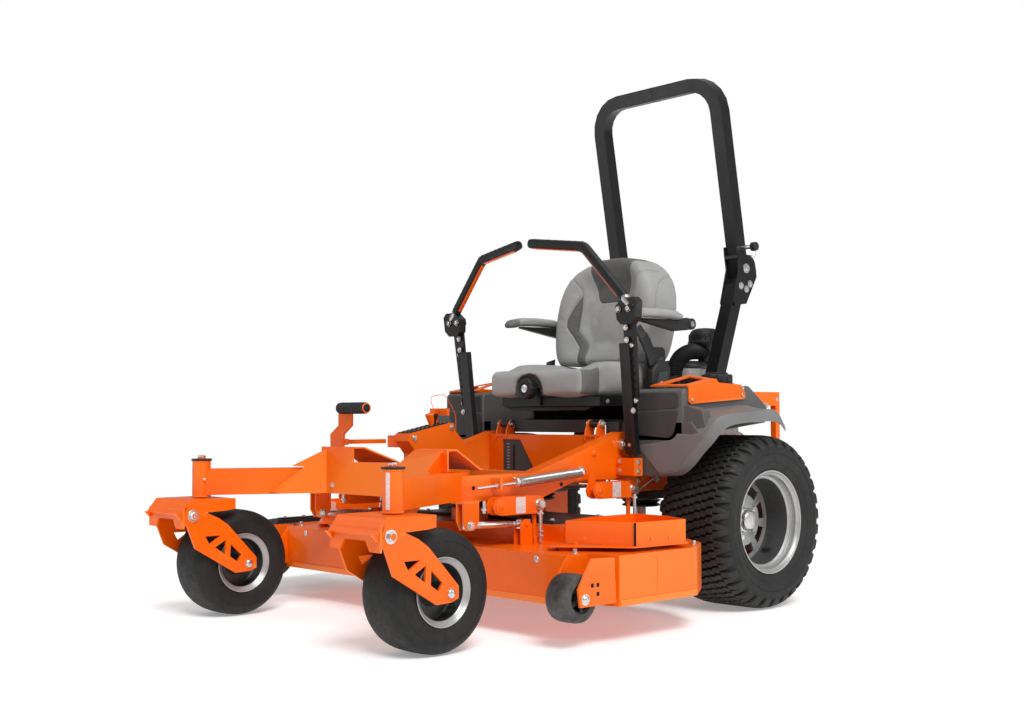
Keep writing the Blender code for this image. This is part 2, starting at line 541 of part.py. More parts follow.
def build_roll_bar():
    py, pz = ROPS_PIVOT_Y, ROPS_PIVOT_Z
    slope, half = 0.3717, 0.0254
    lean = math.atan(slope)
    bottom, top = 0.470, 1.096
    length = (top - bottom) / math.cos(lean)
    middle = (top + bottom) / 2
    leg = moved(
        box(-half, half, -half, half, -length / 2, length / 2),
        Matrix.Translation((ROPS_X, 0.2846 + slope * (middle - 0.95), middle)) @ Matrix.Rotation(-lean, 4, "X"),
    )
    plate = [
        (0.290, 1.034), (0.297, 1.022), (0.366, 1.032), (0.430, 1.134), (0.428, 1.158), (0.420, 1.188), (0.402, 1.212),
        (0.338, 1.214), (0.336, 1.242), (0.3135, 1.240), (0.317, 1.208), (0.326, 1.158),
    ]
    inner, outer = ROPS_X - half, ROPS_X + half
    plates = [prism(plate, "x", a, b) for a, b in ((inner - 0.0062, inner - 0.0004), (outer + 0.0004, outer + 0.0062))]
    near, far = inner - 0.010, outer + 0.010
    pins = [
        rod((near, py, pz), (far, py, pz), 0.0075, 12),
        rod((near, 0.334, 1.096), (far, 0.334, 1.096), 0.0065, 8),
        rod((near, 0.366, 1.086), (far, 0.366, 1.086), 0.0065, 8),
        rod((near, 0.388, 1.106), (far, 0.388, 1.106), 0.0065, 8),
        box(inner - 0.003, outer + 0.003, 0.3165, 0.3256, 1.1960, 1.2080),
    ]
    tie = box(-ROPS_X, ROPS_X, 0.1570, 0.1950, 0.720, 0.760)
    node("rops_frame", "black", [tie] + both(leg, *plates, *pins))

    outer, foot, top = ROPS_X + half, 1.1285, 1.8759
    corner = 0.135
    arc = [math.radians(90 * i / 5) for i in range(6)]
    right = [(outer - corner + corner * math.cos(a), top - corner + corner * math.sin(a)) for a in arc]
    inner = corner - 2 * half
    left_in = [(outer - corner + inner * math.cos(a), top - corner + inner * math.sin(a)) for a in reversed(arc)]
    outline = [(outer, foot)] + right + [(-x, z) for x, z in reversed(right)] + [(-outer, foot), (2 * half - outer, foot)]
    outline += [(-x, z) for x, z in reversed(left_in)] + left_in + [(outer - 2 * half, foot)]
    tilt = Matrix.Translation((0, 0.3505, 1.22)) @ Matrix.Rotation(math.atan(0.18), 4, "X") @ Matrix.Translation((0, 0, -1.22))
    holes = [rod((0.24, y, z), (0.34, y, z), 0.0085, 16) for y, z in ((py, pz), (ROPS_PIN_Y, ROPS_PIN_Z))]
    node("rops_hoop", "black", [moved(prism(outline, "y", -half, half), tilt)], both(*holes), (0, py, pz))
    pair(
        "rops_pin", "steel",
        [
            rod((0.240, ROPS_PIN_Y, ROPS_PIN_Z), (0.360, ROPS_PIN_Y, ROPS_PIN_Z), 0.0075, 12),
            rod((0.355, ROPS_PIN_Y, ROPS_PIN_Z), (0.379, ROPS_PIN_Y, ROPS_PIN_Z), 0.016, 12),
        ],
        pivot=(0.360, ROPS_PIN_Y, ROPS_PIN_Z),
    )


def build_seat():
    node(
        "seat_platform", "black",
        [
            box(-0.235, 0.235, -0.3180, 0.090, 0.6035, 0.6110),
            box(-0.180, 0.180, -0.332, -0.310, 0.568, 0.611),
        ] + both(pipe((0.1970, -0.338, 0.597), (0.2350, -0.338, 0.597), 0.012, 0.0058, 16), box(0.1970, 0.2350, -0.333, -0.300, 0.6020, 0.6105)),
    )
    folds = [box(-0.155, 0.155, -0.285, 0.045, z, z + 0.007) for z in (0.6120, 0.6235, 0.6345)]
    node("seat_bellows", "rubber", [box(-0.143, 0.143, -0.273, 0.033, 0.6115, 0.6415)] + folds)
    node("suspension_top", "black", [prism([(-0.175, 0.6420), (0.175, 0.6420), (0.215, 0.6560), (-0.215, 0.6560)], "y", -0.345, 0.060)])

    ears = both(prism([(0.030, 0.66), (0.092, 0.66), (0.092, 0.748), (0.076, 0.764), (0.050, 0.764), (0.034, 0.748)], "x", 0.221, 0.2285))
    pins = both(rod((0.2170, 0.062, 0.740), (0.246, 0.062, 0.740), 0.008, 16))
    tab = box(-0.048, -0.008, -0.376, -0.369, 0.66, 0.728)
    retractor = [box(0.225, 0.2570, -0.092, -0.045, 0.668, 0.682), prism([(-0.130, 0.672), (-0.118, 0.660), (-0.042, 0.660), (-0.030, 0.672), (-0.030, 0.848), (-0.042, 0.860), (-0.118, 0.860), (-0.130, 0.848)], "x", 0.2535, 0.2605)]
    node(
        "seat_pan", "black",
        [rounded_box(-0.235, 0.235, -0.368, 0.080, 0.6570, 0.6870, 0.03), tab, box(-0.044, -0.012, -0.3755, -0.350, 0.662, 0.682)]
        + ears + pins + retractor,
        solver="MANIFOLD",
    )
    notch = prism([(-0.092, 0.60), (0.036, 0.60), (0.036, 0.722), (0.016, 0.760), (-0.028, 0.772), (-0.072, 0.760), (-0.092, 0.722)], "y", -0.45, -0.362)
    cushion = prism(
        [(-0.424, 0.694), (-0.420, 0.785), (-0.395, 0.800), (-0.300, 0.802), (0.015, 0.794), (0.025, 0.788), (0.025, 0.6880), (-0.418, 0.6880)],
        "x", -0.228, 0.228,
    )
    node("seat_cushion", "seat", [cushion], [notch], bevel=0.012)

    half_back = [(0.195, 0.8065), (0.223, 0.860), (0.236, 0.960), (0.229, 1.060), (0.196, 1.145), (0.134, 1.192), (0.057, 1.205)]
    outline = half_back + [(-x, z) for x, z in reversed(half_back)]
    lean = Matrix(((1, 0, 0, 0), (0, 1, 0.16, -0.128), (0, 0, 1, 0), (0, 0, 0, 1)))
    back_solid = moved(prism(outline, "y", -0.125, 0.092), lean)
    spine = both(prism([(0.052, 0.728), (0.075, 0.728), (0.110, 0.800), (0.118, 0.860), (0.090, 0.860), (0.046, 0.752)], "x", 0.2060, 0.2162))
    cross = box(-0.212, 0.212, 0.080, 0.100, 0.800, 0.830)
    arm_ears = both(rod((0.215, 0.075, 0.945), (0.2580, 0.075, 0.945), 0.016, 16))
    bores = both(rod((0.19, 0.062, 0.740), (0.30, 0.062, 0.740), 0.0086, 16))
    node("seat_back", "seat", [back_solid, cross] + spine + arm_ears, bores, (0, 0.062, 0.740))

    pad = prism(
        [(-0.268, 0.945), (-0.262, 0.972), (-0.210, 0.990), (0.015, 0.984), (0.020, 0.960), (-0.200, 0.952), (-0.240, 0.940)],
        "x", 0.262, 0.326,
    )
    arm = prism([(-0.215, 0.954), (-0.215, 0.946), (-0.010, 0.915), (0.060, 0.926), (0.090, 0.935), (0.092, 0.958), (0.060, 0.968)], "x", 0.268, 0.296)
    hinge = rod((0.2590, 0.075, 0.945), (0.300, 0.075, 0.945), 0.020, 16)
    pair("armrest", "plastic", [pad, arm, hinge], pivot=(0.280, 0.075, 0.945))
    node(
        "seat_knob", "black",
        [
            rod((-0.028, -0.402, 0.7170), (-0.028, -0.3766, 0.7170), 0.010, 16),
            turned([(0, 0), (0, 0.030), (0.005, 0.036), (0.030, 0.036), (0.034, 0.024), (0.034, 0)], (-0.028, -0.4000, 0.7170), (0, -1, 0), 20, False),
        ],
    )


def deck_outline(inset):
    """Half outline of the deck, from its front centre round the left side to the rear centre."""
    i = inset
    return [
        (0.0, DECK_FRONT + i), (0.676 - i, DECK_FRONT + i), (0.676 - i, -0.872 + i), (DECK_SIDE - i, -0.852 + i),
        (DECK_SIDE - i, -0.515), (0.700 - i, -0.400 - i), (0.600, -0.335 - i), (0.0, -0.335 - i),
    ]


def full(outline):
    return outline + [(-x, y) for x, y in reversed(outline[1:-1])]


def build_deck():
    shell = prism(full(deck_outline(0)), "z", DECK_BOTTOM, DECK_TOP)
    hollow = prism(full(deck_outline(0.005)), "z", DECK_BOTTOM - 0.02, DECK_TOP - 0.006)
    outlet = box(-0.80, -0.74, -0.800, -0.530, 0.09, 0.205)
    roller = [(-0.958, 0.243), (-0.868, 0.240), (-0.862, 0.117), (-1.003, 0.117), (-1.010, 0.165)]
    inner = [(-0.950, 0.243), (-0.868, 0.240), (-0.868, 0.117), (-1.003, 0.117), (-1.008, 0.165)]
    outer_plate, inner_plate = prism(roller, "x", 0.7655, 0.7725), prism(inner, "x", 0.6705, 0.6765)
    roller_axle = rod((0.672, -0.985, 0.137), (0.778, -0.985, 0.137), 0.0070, 10)
    strut_ear = [(-0.838, 0.2405), (-0.838, 0.300), (-0.822, 0.318), (-0.808, 0.318), (-0.792, 0.300), (-0.792, 0.2405)]
    ears = [prism(strut_ear, "x", 0.345, 0.3505), prism(strut_ear, "x", 0.3715, 0.377)]
    strut_pin = rod((0.346, STRUT_Y + STRUT_L, 0.303), (0.381, STRUT_Y + STRUT_L, 0.303), 0.006, 8)
    parts, slots = [], []
    for pin_y, pin_z in ((LINK_FRONT_Y + LINK_FRONT_L, LINK_FRONT_Z), (LINK_REAR_Y + LINK_REAR_L, LINK_REAR_Z)):
        parts.append(box(0.348, 0.378, pin_y - 0.018, pin_y + 0.006 if pin_y > -0.5 else pin_y + 0.018, 0.2405, 0.265))
        parts.append(rod((0.363, pin_y - 0.004, 0.260), (0.363, pin_y - 0.004, pin_z - 0.012), 0.0070, 8))
        parts.append(box(0.3560, 0.3700, pin_y - 0.026, pin_y + 0.014, pin_z - 0.018, pin_z + 0.018))
        slots.append(rounded_slot(pin_y, pin_z))
    under_guard = prism(
        full([(0.0, -0.794), (0.324, -0.774), (0.324, -0.694), (0.494, -0.684), (0.494, -0.400), (0.0, -0.400)]), "z", 0.2436, 0.284
    )
    guard = [
        prism(full([(0.0, -0.800), (0.330, -0.780), (0.330, -0.700), (0.500, -0.690), (0.500, -0.520), (0.0, -0.480)]), "z", 0.2420, 0.290),
        rod((0.0, -0.705, 0.280), (0.0, -0.705, 0.330), 0.060, 20),
    ]
    node(
        "deck_shell", "orange",
        [shell] + guard + both(outer_plate, inner_plate, roller_axle, *ears, strut_pin, *parts),
        [hollow, outlet, under_guard] + both(*slots)
        + [rod((x, y, 0.05), (x, y, 0.34 if x == 0 else 0.29), 0.0180, 12) for x, y in SPINDLES],
        solver="MANIFOLD",
    )
    cover = [(0.515, -0.690), (0.555, -0.835), (0.742, -0.748), (0.762, -0.549), (0.640, -0.490), (0.515, -0.490)]
    flange = [(0.512, -0.860), (0.560, -0.905), (0.748, -0.760), (0.764, -0.540), (0.640, -0.482), (0.512, -0.482)]
    rim = prism(cover, "z", 0.256, 0.325)
    inside = prism([(0.520, -0.689), (0.558, -0.827), (0.737, -0.744), (0.756, -0.551), (0.638, -0.495), (0.520, -0.495)], "z", 0.2700, 0.34)
    pair("belt_cover", "orange", [prism(flange, "z", 0.2540, 0.2590), rim] + [rod((0.60, -0.84, 0.2435), (0.60, -0.84, 0.267), 0.008, 8)], [inside])
    for name, (x, y) in zip(("centre", "left", "right"), SPINDLES):
        turn = math.radians(0 if x == 0 else 24 if x > 0 else -24)
        along_blade = Vector((math.cos(turn), math.sin(turn), 0)) * BLADE_HALF
        across = Vector((-math.sin(turn), math.cos(turn), 0)) * 0.030
        mid = Vector((x, y, 0.133))
        corners = [mid - along_blade - across, mid + along_blade - across, mid + along_blade + across, mid - along_blade + across]
        top = 0.345 if x == 0 else 0.2520
        node(
            "blade_" + name, "steel",
            [
                slab(corners, 0.006),
                rod((x, y, 0.118), (x, y, top), 0.0166, 12),
                rod((x, y, 0.1145), (x, y, 0.128), 0.028, 6),
            ],
            pivot=(x, y, 0.133),
        )
    build_links()
    flap = [
        (-0.7790, 0.2440), (-0.7790, 0.2560), (-0.8000, 0.2620), (-0.9550, 0.2400), (-1.0230, 0.1850), (-1.0180, 0.1800),
        (-0.9500, 0.2280), (-0.8000, 0.2490),
    ]
    cheek = [(-0.7850, 0.2460), (-0.7850, 0.165), (-0.830, 0.125), (-0.900, 0.125), (-1.0150, 0.1835), (-0.9530, 0.2340), (-0.8000, 0.2550)]
    front, rear = -0.925, -0.520
    node(
        "discharge_chute", "rubber",
        [prism(flap, "y", front, rear), rod((-0.7890, front + 0.001, 0.2510), (-0.7890, rear - 0.001, 0.2510), 0.0075)]
        + [prism(cheek, "y", a, a + 0.005) for a in (front + 0.0005, rear - 0.0055)],
        pivot=(-0.789, -0.72, 0.251), solver="MANIFOLD",
    )
    pair("anti_scalp_wheel", "rubber", [anti_scalp_wheel()], pivot=(0.7210, -0.985, 0.137))


def rounded_slot(pin_y, pin_z):
    """The slot in a hanger's eye: the pin slides a little towards the front as its link swings."""
    return prism(
        [(pin_y - 0.0215, pin_z - 0.0065), (pin_y - 0.0175, pin_z - 0.0105), (pin_y + 0.0055, pin_z - 0.0105), (pin_y + 0.0095, pin_z - 0.0065),
         (pin_y + 0.0095, pin_z + 0.0065), (pin_y + 0.0055, pin_z + 0.0105), (pin_y - 0.0175, pin_z + 0.0105), (pin_y - 0.0215, pin_z + 0.0065)],
        "x", 0.340, 0.390,
    )


def anti_scalp_wheel():
    profile = [
        (-0.040, 0.0078), (-0.040, 0.045), (-0.040, 0.052), (-0.030, 0.063), (0, 0.066), (0.030, 0.063), (0.040, 0.052), (0.040, 0.045),
        (0.022, 0.043), (0.022, 0.016), (0.040, 0.015), (0.040, 0.0078),
    ]
    return turned(profile, (0.7210, -0.985, 0.137), (1, 0, 0), 16)


def build_links():
    for place, y, z, length in (("front", LINK_FRONT_Y, LINK_FRONT_Z, LINK_FRONT_L), ("rear", LINK_REAR_Y, LINK_REAR_Z, LINK_REAR_L)):
        r = 0.0265
        ends = []
        for centre, start in ((y, 90), (y + length, -90)):
            for i in range(5):
                a = math.radians(start + 180 * i / 4)
                ends.append((centre + r * math.cos(a), z + r * math.sin(a)))
        shapes = [prism(ends, "x", 0.3450, 0.3510), prism(ends, "x", 0.3750, 0.3810)]
        shapes.append(rod((0.3400, y, z), (0.3860, y, z), 0.012))
        shapes.append(rod((0.3430, y + length, z), (0.3870, y + length, z), 0.0080))
        shapes.append(box(0.3450, 0.3810, y + 0.012, y + 0.050, z + 0.0060, z + 0.0120))
        if place == "rear":
            shapes.append(prism([(y - 0.020, z), (y + 0.020, z), (y + 0.012, z + 0.050), (y - 0.012, z + 0.050)], "x", 0.3455, 0.3505))
        pair("lift_link_" + place, "orange", shapes, pivot=(0.363, y, z))
    y0, z0, y1, z1 = STRUT_Y, STRUT_Z, STRUT_Y + STRUT_L, 0.303
    eye = prism([(y0 - 0.013, z0 - 0.008), (y0 - 0.013, z0 + 0.008), (y0 - 0.006, z0 + 0.013), (y0 + 0.008, z0 + 0.013), (y0 + 0.015, z0 + 0.006), (y0 + 0.015, z0 - 0.006), (y0 + 0.006, z0 - 0.013), (y0 - 0.006, z0 - 0.013)], "x", 0.3530, 0.3690)
    fork = prism([(y1 - 0.020, z1 - 0.013), (y1 + 0.024, z1 - 0.013), (y1 + 0.024, z1 + 0.013), (y1 - 0.020, z1 + 0.013)], "x", 0.3530, 0.3690)
    holes = [
        rod((0.34, y0, z0), (0.40, y0, z0), 0.0068, 16),
        prism([(y1 - 0.0085, z1 - 0.0078), (y1 + 0.018, z1 - 0.0078), (y1 + 0.018, z1 + 0.0078), (y1 - 0.0085, z1 + 0.0078)], "x", 0.34, 0.40),
    ]
    pair("deck_strut", "steel", [rod((0.361, y0 + 0.008, z0), (0.361, y1 - 0.012, z1), 0.0085, 12), eye, fork], holes, (0.361, y0, z0))


def main():
    build_frame()
    build_front()
    build_console()
    build_caster(1)
    build_caster(-1)
    build_rear_wheels()
    build_controls()
    build_body()
    build_roll_bar()
    build_seat()
    build_deck()


for old in list(bpy.data.objects):
    bpy.data.objects.remove(old)
PIECES = bpy.data.collections.new("zero_turn_mower")
bpy.context.scene.collection.children.link(PIECES)
main()
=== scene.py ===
import math

import bmesh
import bpy
from mathutils import Matrix, Vector


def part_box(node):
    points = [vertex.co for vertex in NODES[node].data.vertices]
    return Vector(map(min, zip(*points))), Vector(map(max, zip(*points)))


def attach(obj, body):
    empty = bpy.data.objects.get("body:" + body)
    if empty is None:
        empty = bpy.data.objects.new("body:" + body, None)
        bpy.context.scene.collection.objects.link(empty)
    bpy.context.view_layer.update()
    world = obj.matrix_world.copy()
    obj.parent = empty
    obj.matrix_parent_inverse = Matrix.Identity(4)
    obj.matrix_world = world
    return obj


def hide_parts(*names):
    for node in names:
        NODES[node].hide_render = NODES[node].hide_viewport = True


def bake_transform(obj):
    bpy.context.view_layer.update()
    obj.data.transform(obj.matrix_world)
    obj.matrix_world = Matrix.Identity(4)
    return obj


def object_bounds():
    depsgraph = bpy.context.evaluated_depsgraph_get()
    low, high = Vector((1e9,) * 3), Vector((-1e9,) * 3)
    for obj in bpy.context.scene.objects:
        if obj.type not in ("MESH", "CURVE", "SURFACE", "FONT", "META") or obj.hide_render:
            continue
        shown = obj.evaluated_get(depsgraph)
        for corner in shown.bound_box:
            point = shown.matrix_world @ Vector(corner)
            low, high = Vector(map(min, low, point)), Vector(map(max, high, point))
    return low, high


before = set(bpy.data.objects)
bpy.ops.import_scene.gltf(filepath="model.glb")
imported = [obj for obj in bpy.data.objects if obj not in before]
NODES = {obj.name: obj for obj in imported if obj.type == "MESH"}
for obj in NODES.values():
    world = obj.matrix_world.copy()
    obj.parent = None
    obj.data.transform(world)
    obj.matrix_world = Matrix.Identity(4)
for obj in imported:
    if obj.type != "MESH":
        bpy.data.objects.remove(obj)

CAD_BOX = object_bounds()
TURN = 2 * math.pi

# The mower's own frame: X to the driver's left, Y backwards, origin on the ground below the rear axle.
# SIDES gives each side's name and the sign of its X.
low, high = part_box("main_frame")
rim_low, rim_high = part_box("rear_rim_left")
ORIGIN = Vector(((low.x + high.x) / 2, (rim_low.y + rim_high.y) / 2, 0))
SIDES = (("left", 1), ("right", -1))


# ---------------------------------------------------------------- materials

class Graph:
    """A material's nodes, made with short calls."""

    def __init__(self, name):
        self.material = bpy.data.materials.new(name)
        self.material.use_nodes = True
        self.nodes = self.material.node_tree.nodes
        self.links = self.material.node_tree.links
        self.nodes.clear()
        output = self.nodes.new("ShaderNodeOutputMaterial")
        self.shader = self.nodes.new("ShaderNodeBsdfPrincipled")
        self.links.new(self.shader.outputs[0], output.inputs[0])
        self.coordinates = self.nodes.new("ShaderNodeTexCoord").outputs["Object"]

    def put(self, value, socket):
        if isinstance(value, bpy.types.NodeSocket):
            self.links.new(value, socket)
        else:
            socket.default_value = value

    def node(self, kind, inputs=(), out=0, **settings):
        made = self.nodes.new("ShaderNode" + kind)
        for key, value in settings.items():
            setattr(made, key, value)
        for key, value in dict(inputs).items():
            self.put(value, made.inputs[key])
        return made.outputs[out]

    def noise(self, scale, detail=3.0, rough=0.55, stretch=(1, 1, 1)):
        where = self.coordinates
        if stretch != (1, 1, 1):
            where = self.node("Mapping", {"Vector": where, "Scale": stretch})
        return self.node("TexNoise", {"Vector": where, "Scale": scale, "Detail": detail,
                                      "Roughness": rough})

    def cells(self, scale, feature="F1", out="Distance"):
        return self.node("TexVoronoi", {"Vector": self.coordinates, "Scale": scale}, out, feature=feature)

    def ramp(self, value, low, high, to_low=0.0, to_high=1.0):
        return self.node("MapRange", {"Value": value, "From Min": low, "From Max": high,
                                      "To Min": to_low, "To Max": to_high})

    def maths(self, operation, a, b=0.0):
        made = self.nodes.new("ShaderNodeMath")
        made.operation = operation
        self.put(a, made.inputs[0])
        self.put(b, made.inputs[1])
        return made.outputs[0]

    def mix(self, factor, a, b):
        made = self.nodes.new("ShaderNodeMix")
        made.data_type = "RGBA"
        self.put(factor, made.inputs[0])
        self.put(a, made.inputs[6])
        self.put(b, made.inputs[7])
        return made.outputs[2]

    def edges(self, low=0.53, high=0.6):
        """0 on flats and 1 along outward edges."""
        point = self.nodes.new("ShaderNodeNewGeometry").outputs["Pointiness"]
        return self.ramp(point, low, high)

    def bump(self, height, strength, distance, under=None):
        inputs = {"Height": height, "Strength": strength, "Distance": distance}
        if under is not None:
            inputs["Normal"] = under
        return self.node("Bump", inputs)

    def done(self, colour, rough, normal=None, **settings):
        self.put(colour, self.shader.inputs["Base Color"])
        self.put(rough, self.shader.inputs["Roughness"])
        if normal is not None:
            self.put(normal, self.shader.inputs["Normal"])
        for key, value in settings.items():
            self.put(value, self.shader.inputs[key.replace("_", " ")])
        return self.material


def rgb(r, g, b):
    return (r, g, b, 1.0)


def scaled(colour, factor):
    return rgb(*[c * factor for c in colour[:3]])


def paint(name, colour, worn, rough=0.3, coat=0.5, peel=0.25, shine=0.5):
    """Powder coat: orange peel, faint clouding, lighter worn edges and smudges."""
    g = Graph(name)
    cloud = g.ramp(g.noise(5, 4), 0.35, 0.65)
    base = g.mix(cloud, scaled(colour, 0.93), scaled(colour, 1.05))
    speck = g.ramp(g.noise(420, 2), 0.62, 0.72, 0.0, 0.12)
    base = g.mix(speck, base, worn)
    base = g.mix(g.maths("MULTIPLY", g.edges(), 0.45), base, worn)
    smudge = g.ramp(g.noise(14, 5, 0.7), 0.3, 0.75, rough - 0.05, rough + 0.09)
    orange_peel = g.bump(g.noise(330, 2), peel, 0.0004)
    return g.done(base, smudge, orange_peel, Coat_Weight=coat, Coat_Roughness=0.12,
                  Specular_IOR_Level=shine)


def plastic(name, colour, grain=900, rough=0.55, depth=0.5):
    """Moulded plastic with a stippled grain, paler where it has rubbed."""
    g = Graph(name)
    base = g.mix(g.ramp(g.noise(6, 4), 0.35, 0.7), scaled(colour, 0.86), scaled(colour, 1.14))
    dots = g.cells(grain)
    base = g.mix(g.ramp(dots, 0.1, 0.6, 0.0, 0.2), base, scaled(colour, 1.5))
    base = g.mix(g.maths("MULTIPLY", g.edges(), 0.3), base, scaled(colour, 2.0))
    finish = g.ramp(g.noise(24, 4), 0.3, 0.7, rough - 0.06, rough + 0.08)
    return g.done(base, finish, g.bump(dots, depth, 0.0006), Specular_IOR_Level=0.3)


def rubber(name, colour, dust, rough=0.72, dusting=0.5, shine=0.3):
    """Rubber with fine pores, flow marks and a pale bloom."""
    g = Graph(name)
    bloom = g.maths("MULTIPLY", g.ramp(g.noise(9, 6, 0.65), 0.42, 0.72), dusting)
    base = g.mix(bloom, colour, dust)
    pores = g.noise(700, 3)
    flow = g.noise(60, 3)
    base = g.mix(g.ramp(pores, 0.55, 0.75, 0, 0.25), base, scaled(colour, 0.5))
    base = g.mix(g.maths("MULTIPLY", g.edges(0.52, 0.62), 0.35), base, dust)
    finish = g.ramp(flow, 0.3, 0.7, rough - 0.1, rough + 0.1)
    fine = g.bump(pores, 0.35, 0.0005)
    return g.done(base, finish, g.bump(flow, 0.12, 0.001, fine), Specular_IOR_Level=shine)


def metal(name, colour, rough=0.3, metallic=0.95, brushed=(1, 1, 1), blotch=0.15):
    """Plated or cast metal, blotched and finely scratched."""
    g = Graph(name)
    base = g.mix(g.ramp(g.cells(90, "SMOOTH_F1"), 0.1, 0.7), scaled(colour, 1 - blotch),
                 scaled(colour, 1 + blotch))
    base = g.mix(g.maths("MULTIPLY", g.edges(), 0.5), base, scaled(colour, 1.45))
    scratch = g.noise(500, 3, 0.6, brushed)
    finish = g.ramp(scratch, 0.3, 0.7, rough - 0.08, rough + 0.12)
    return g.done(base, finish, g.bump(scratch, 0.15, 0.0003), Metallic=metallic)


def leather_grain(g):
    """Bump of pebbled vinyl: rounded cells with creases between, and finer ones inside them."""
    pebbles = g.ramp(g.cells(420, "DISTANCE_TO_EDGE"), 0.0, 0.35)
    coarse = g.bump(pebbles, 0.45, 0.0005)
    return g.bump(g.noise(900, 2), 0.2, 0.0003, coarse), pebbles


def vinyl(name, light, dark, seam_colour):
    """Two-tone vinyl. The mesh's "tone" is a distance that turns positive on the dark panels, and "seam"
    the distance from the nearest sewn seam, both in metres."""
    g = Graph(name)
    normal, pebbles = leather_grain(g)
    tone = g.node("Attribute", (), "Fac", attribute_name="tone")
    seam = g.node("Attribute", (), "Fac", attribute_name="seam")
    base = g.mix(g.ramp(tone, -0.0006, 0.0006), light, dark)
    base = g.mix(g.ramp(g.noise(7, 4), 0.35, 0.7, 0, 0.16), base, scaled(dark, 1.2))
    # painted shade: the creases between the pebbles are darkened
    base = g.mix(g.ramp(pebbles, 0.0, 0.25, 0.18, 0.0), base, scaled(dark, 0.8))
    base = g.mix(g.ramp(seam, 0.0004, 0.0016, 0.75, 0.0), base, seam_colour)
    crease = g.ramp(seam, 0.0, 0.004)
    dash = g.node("TexWave", {"Vector": g.coordinates, "Scale": 60.0, "Distortion": 0.0},
                  "Fac", bands_direction="DIAGONAL")
    beside = g.maths("MULTIPLY", g.ramp(g.maths("ABSOLUTE", g.maths("SUBTRACT", seam, 0.0065)), 0.0004,
                                        0.001, 1.0, 0.0), g.ramp(dash, 0.25, 0.4))
    base = g.mix(g.maths("MULTIPLY", beside, 0.55), base, scaled(light, 0.5))
    stitched = g.bump(g.maths("ADD", crease, g.maths("MULTIPLY", beside, 0.5)), 0.6, 0.0012, normal)
    finish = g.ramp(g.noise(30, 4), 0.3, 0.7, 0.5, 0.62)
    return g.done(base, finish, stitched, Sheen_Weight=0.12, Sheen_Roughness=0.5)


def webbing_material(name, colour):
    """Woven belt: ribs across and warp threads along."""
    g = Graph(name)
    ribs = g.node("TexWave", {"Vector": g.coordinates, "Scale": 260.0, "Distortion": 0.4}, "Fac",
                  bands_direction="Z")
    warp = g.node("TexWave", {"Vector": g.coordinates, "Scale": 330.0, "Distortion": 0.2}, "Fac",
                  bands_direction="Y")
    weave = g.maths("MULTIPLY", ribs, warp)
    base = g.mix(g.ramp(weave, 0.1, 0.9), scaled(colour, 0.6), scaled(colour, 1.5))
    return g.done(base, g.ramp(g.noise(40), 0.3, 0.7, 0.75, 0.9), g.bump(weave, 0.7, 0.0006),
                  Sheen_Weight=0.2)


def reflective(name, colour):
    """Reflector tape: a honeycomb under a clear film."""
    g = Graph(name)
    comb = g.cells(380, "DISTANCE_TO_EDGE")
    base = g.mix(g.ramp(comb, 0.02, 0.12), scaled(colour, 0.62), colour)
    return g.done(base, g.ramp(g.noise(50), 0.3, 0.7, 0.2, 0.35), g.bump(comb, 0.2, 0.0003),
                  Coat_Weight=0.6, Metallic=0.15)


ORANGE = paint("orange_powder_coat", rgb(0.9, 0.128, 0.0), rgb(1.0, 0.3, 0.05), 0.32, 0.18, shine=0.2)
BLACK = paint("black_powder_coat", rgb(0.0075, 0.0075, 0.008), rgb(0.05, 0.05, 0.052), 0.34, 0.06,
              shine=0.3)
CHARCOAL = plastic("charcoal_moulding", rgb(0.088, 0.088, 0.087), 700, 0.5)
FLARE = plastic("flare_moulding", rgb(0.155, 0.155, 0.153), 700, 0.46)
CHARCOAL_DARK = plastic("charcoal_moulding_dark", rgb(0.045, 0.045, 0.045), 900, 0.55)
BLACK_PLASTIC = plastic("black_moulding", rgb(0.014, 0.014, 0.0145), 1100, 0.45)
TREAD = rubber("tread_rubber", rgb(0.015, 0.015, 0.0148), rgb(0.045, 0.044, 0.042), 0.62, 0.4)
SIDEWALL = rubber("sidewall_rubber", rgb(0.014, 0.014, 0.0138), rgb(0.036, 0.035, 0.033), 0.66, 0.35)
CASTER_RUBBER = rubber("caster_rubber", rgb(0.012, 0.012, 0.0118), rgb(0.034, 0.033, 0.031), 0.62, 0.35)
SOFT_RUBBER = rubber("grip_rubber", rgb(0.01, 0.01, 0.0103), rgb(0.03, 0.03, 0.03), 0.5, 0.3)
ROLLER_RUBBER = rubber("roller_rubber", rgb(0.024, 0.024, 0.024), rgb(0.16, 0.155, 0.145), 0.55, 0.75)
RIM = metal("rim_paint_silver", rgb(0.4, 0.4, 0.395), 0.38, 0.55, blotch=0.06)
# painted shade: this dark grey stands for the shade inside the wheels; it colours the rear rims' barrels and
# the caster rims' recessed dishes, hubs and axle sleeves
RIM_INNER_SHADE = metal("rim_inner_shade", rgb(0.055, 0.055, 0.055), 0.5, 0.3, blotch=0.1)
ZINC = metal("zinc_plate", rgb(0.62, 0.615, 0.6), 0.28)
STEEL = metal("brushed_steel", rgb(0.5, 0.5, 0.49), 0.33, 1.0, (1, 1, 8))
ALLOY = metal("cast_alloy", rgb(0.3, 0.3, 0.295), 0.5, 0.8, blotch=0.25)
SEAT_VINYL = vinyl("seat_vinyl", rgb(0.33, 0.33, 0.325), rgb(0.115, 0.115, 0.112), rgb(0.09, 0.09, 0.088))
BACK_VINYL = vinyl("back_vinyl", rgb(0.31, 0.31, 0.305), rgb(0.075, 0.075, 0.073), rgb(0.08, 0.08, 0.078))
BELT = webbing_material("belt_webbing", rgb(0.02, 0.02, 0.02))
REFLECTOR = reflective("reflector_tape", rgb(0.86, 0.74, 0.7))
LABEL = reflective("blank_label", rgb(0.34, 0.34, 0.34))
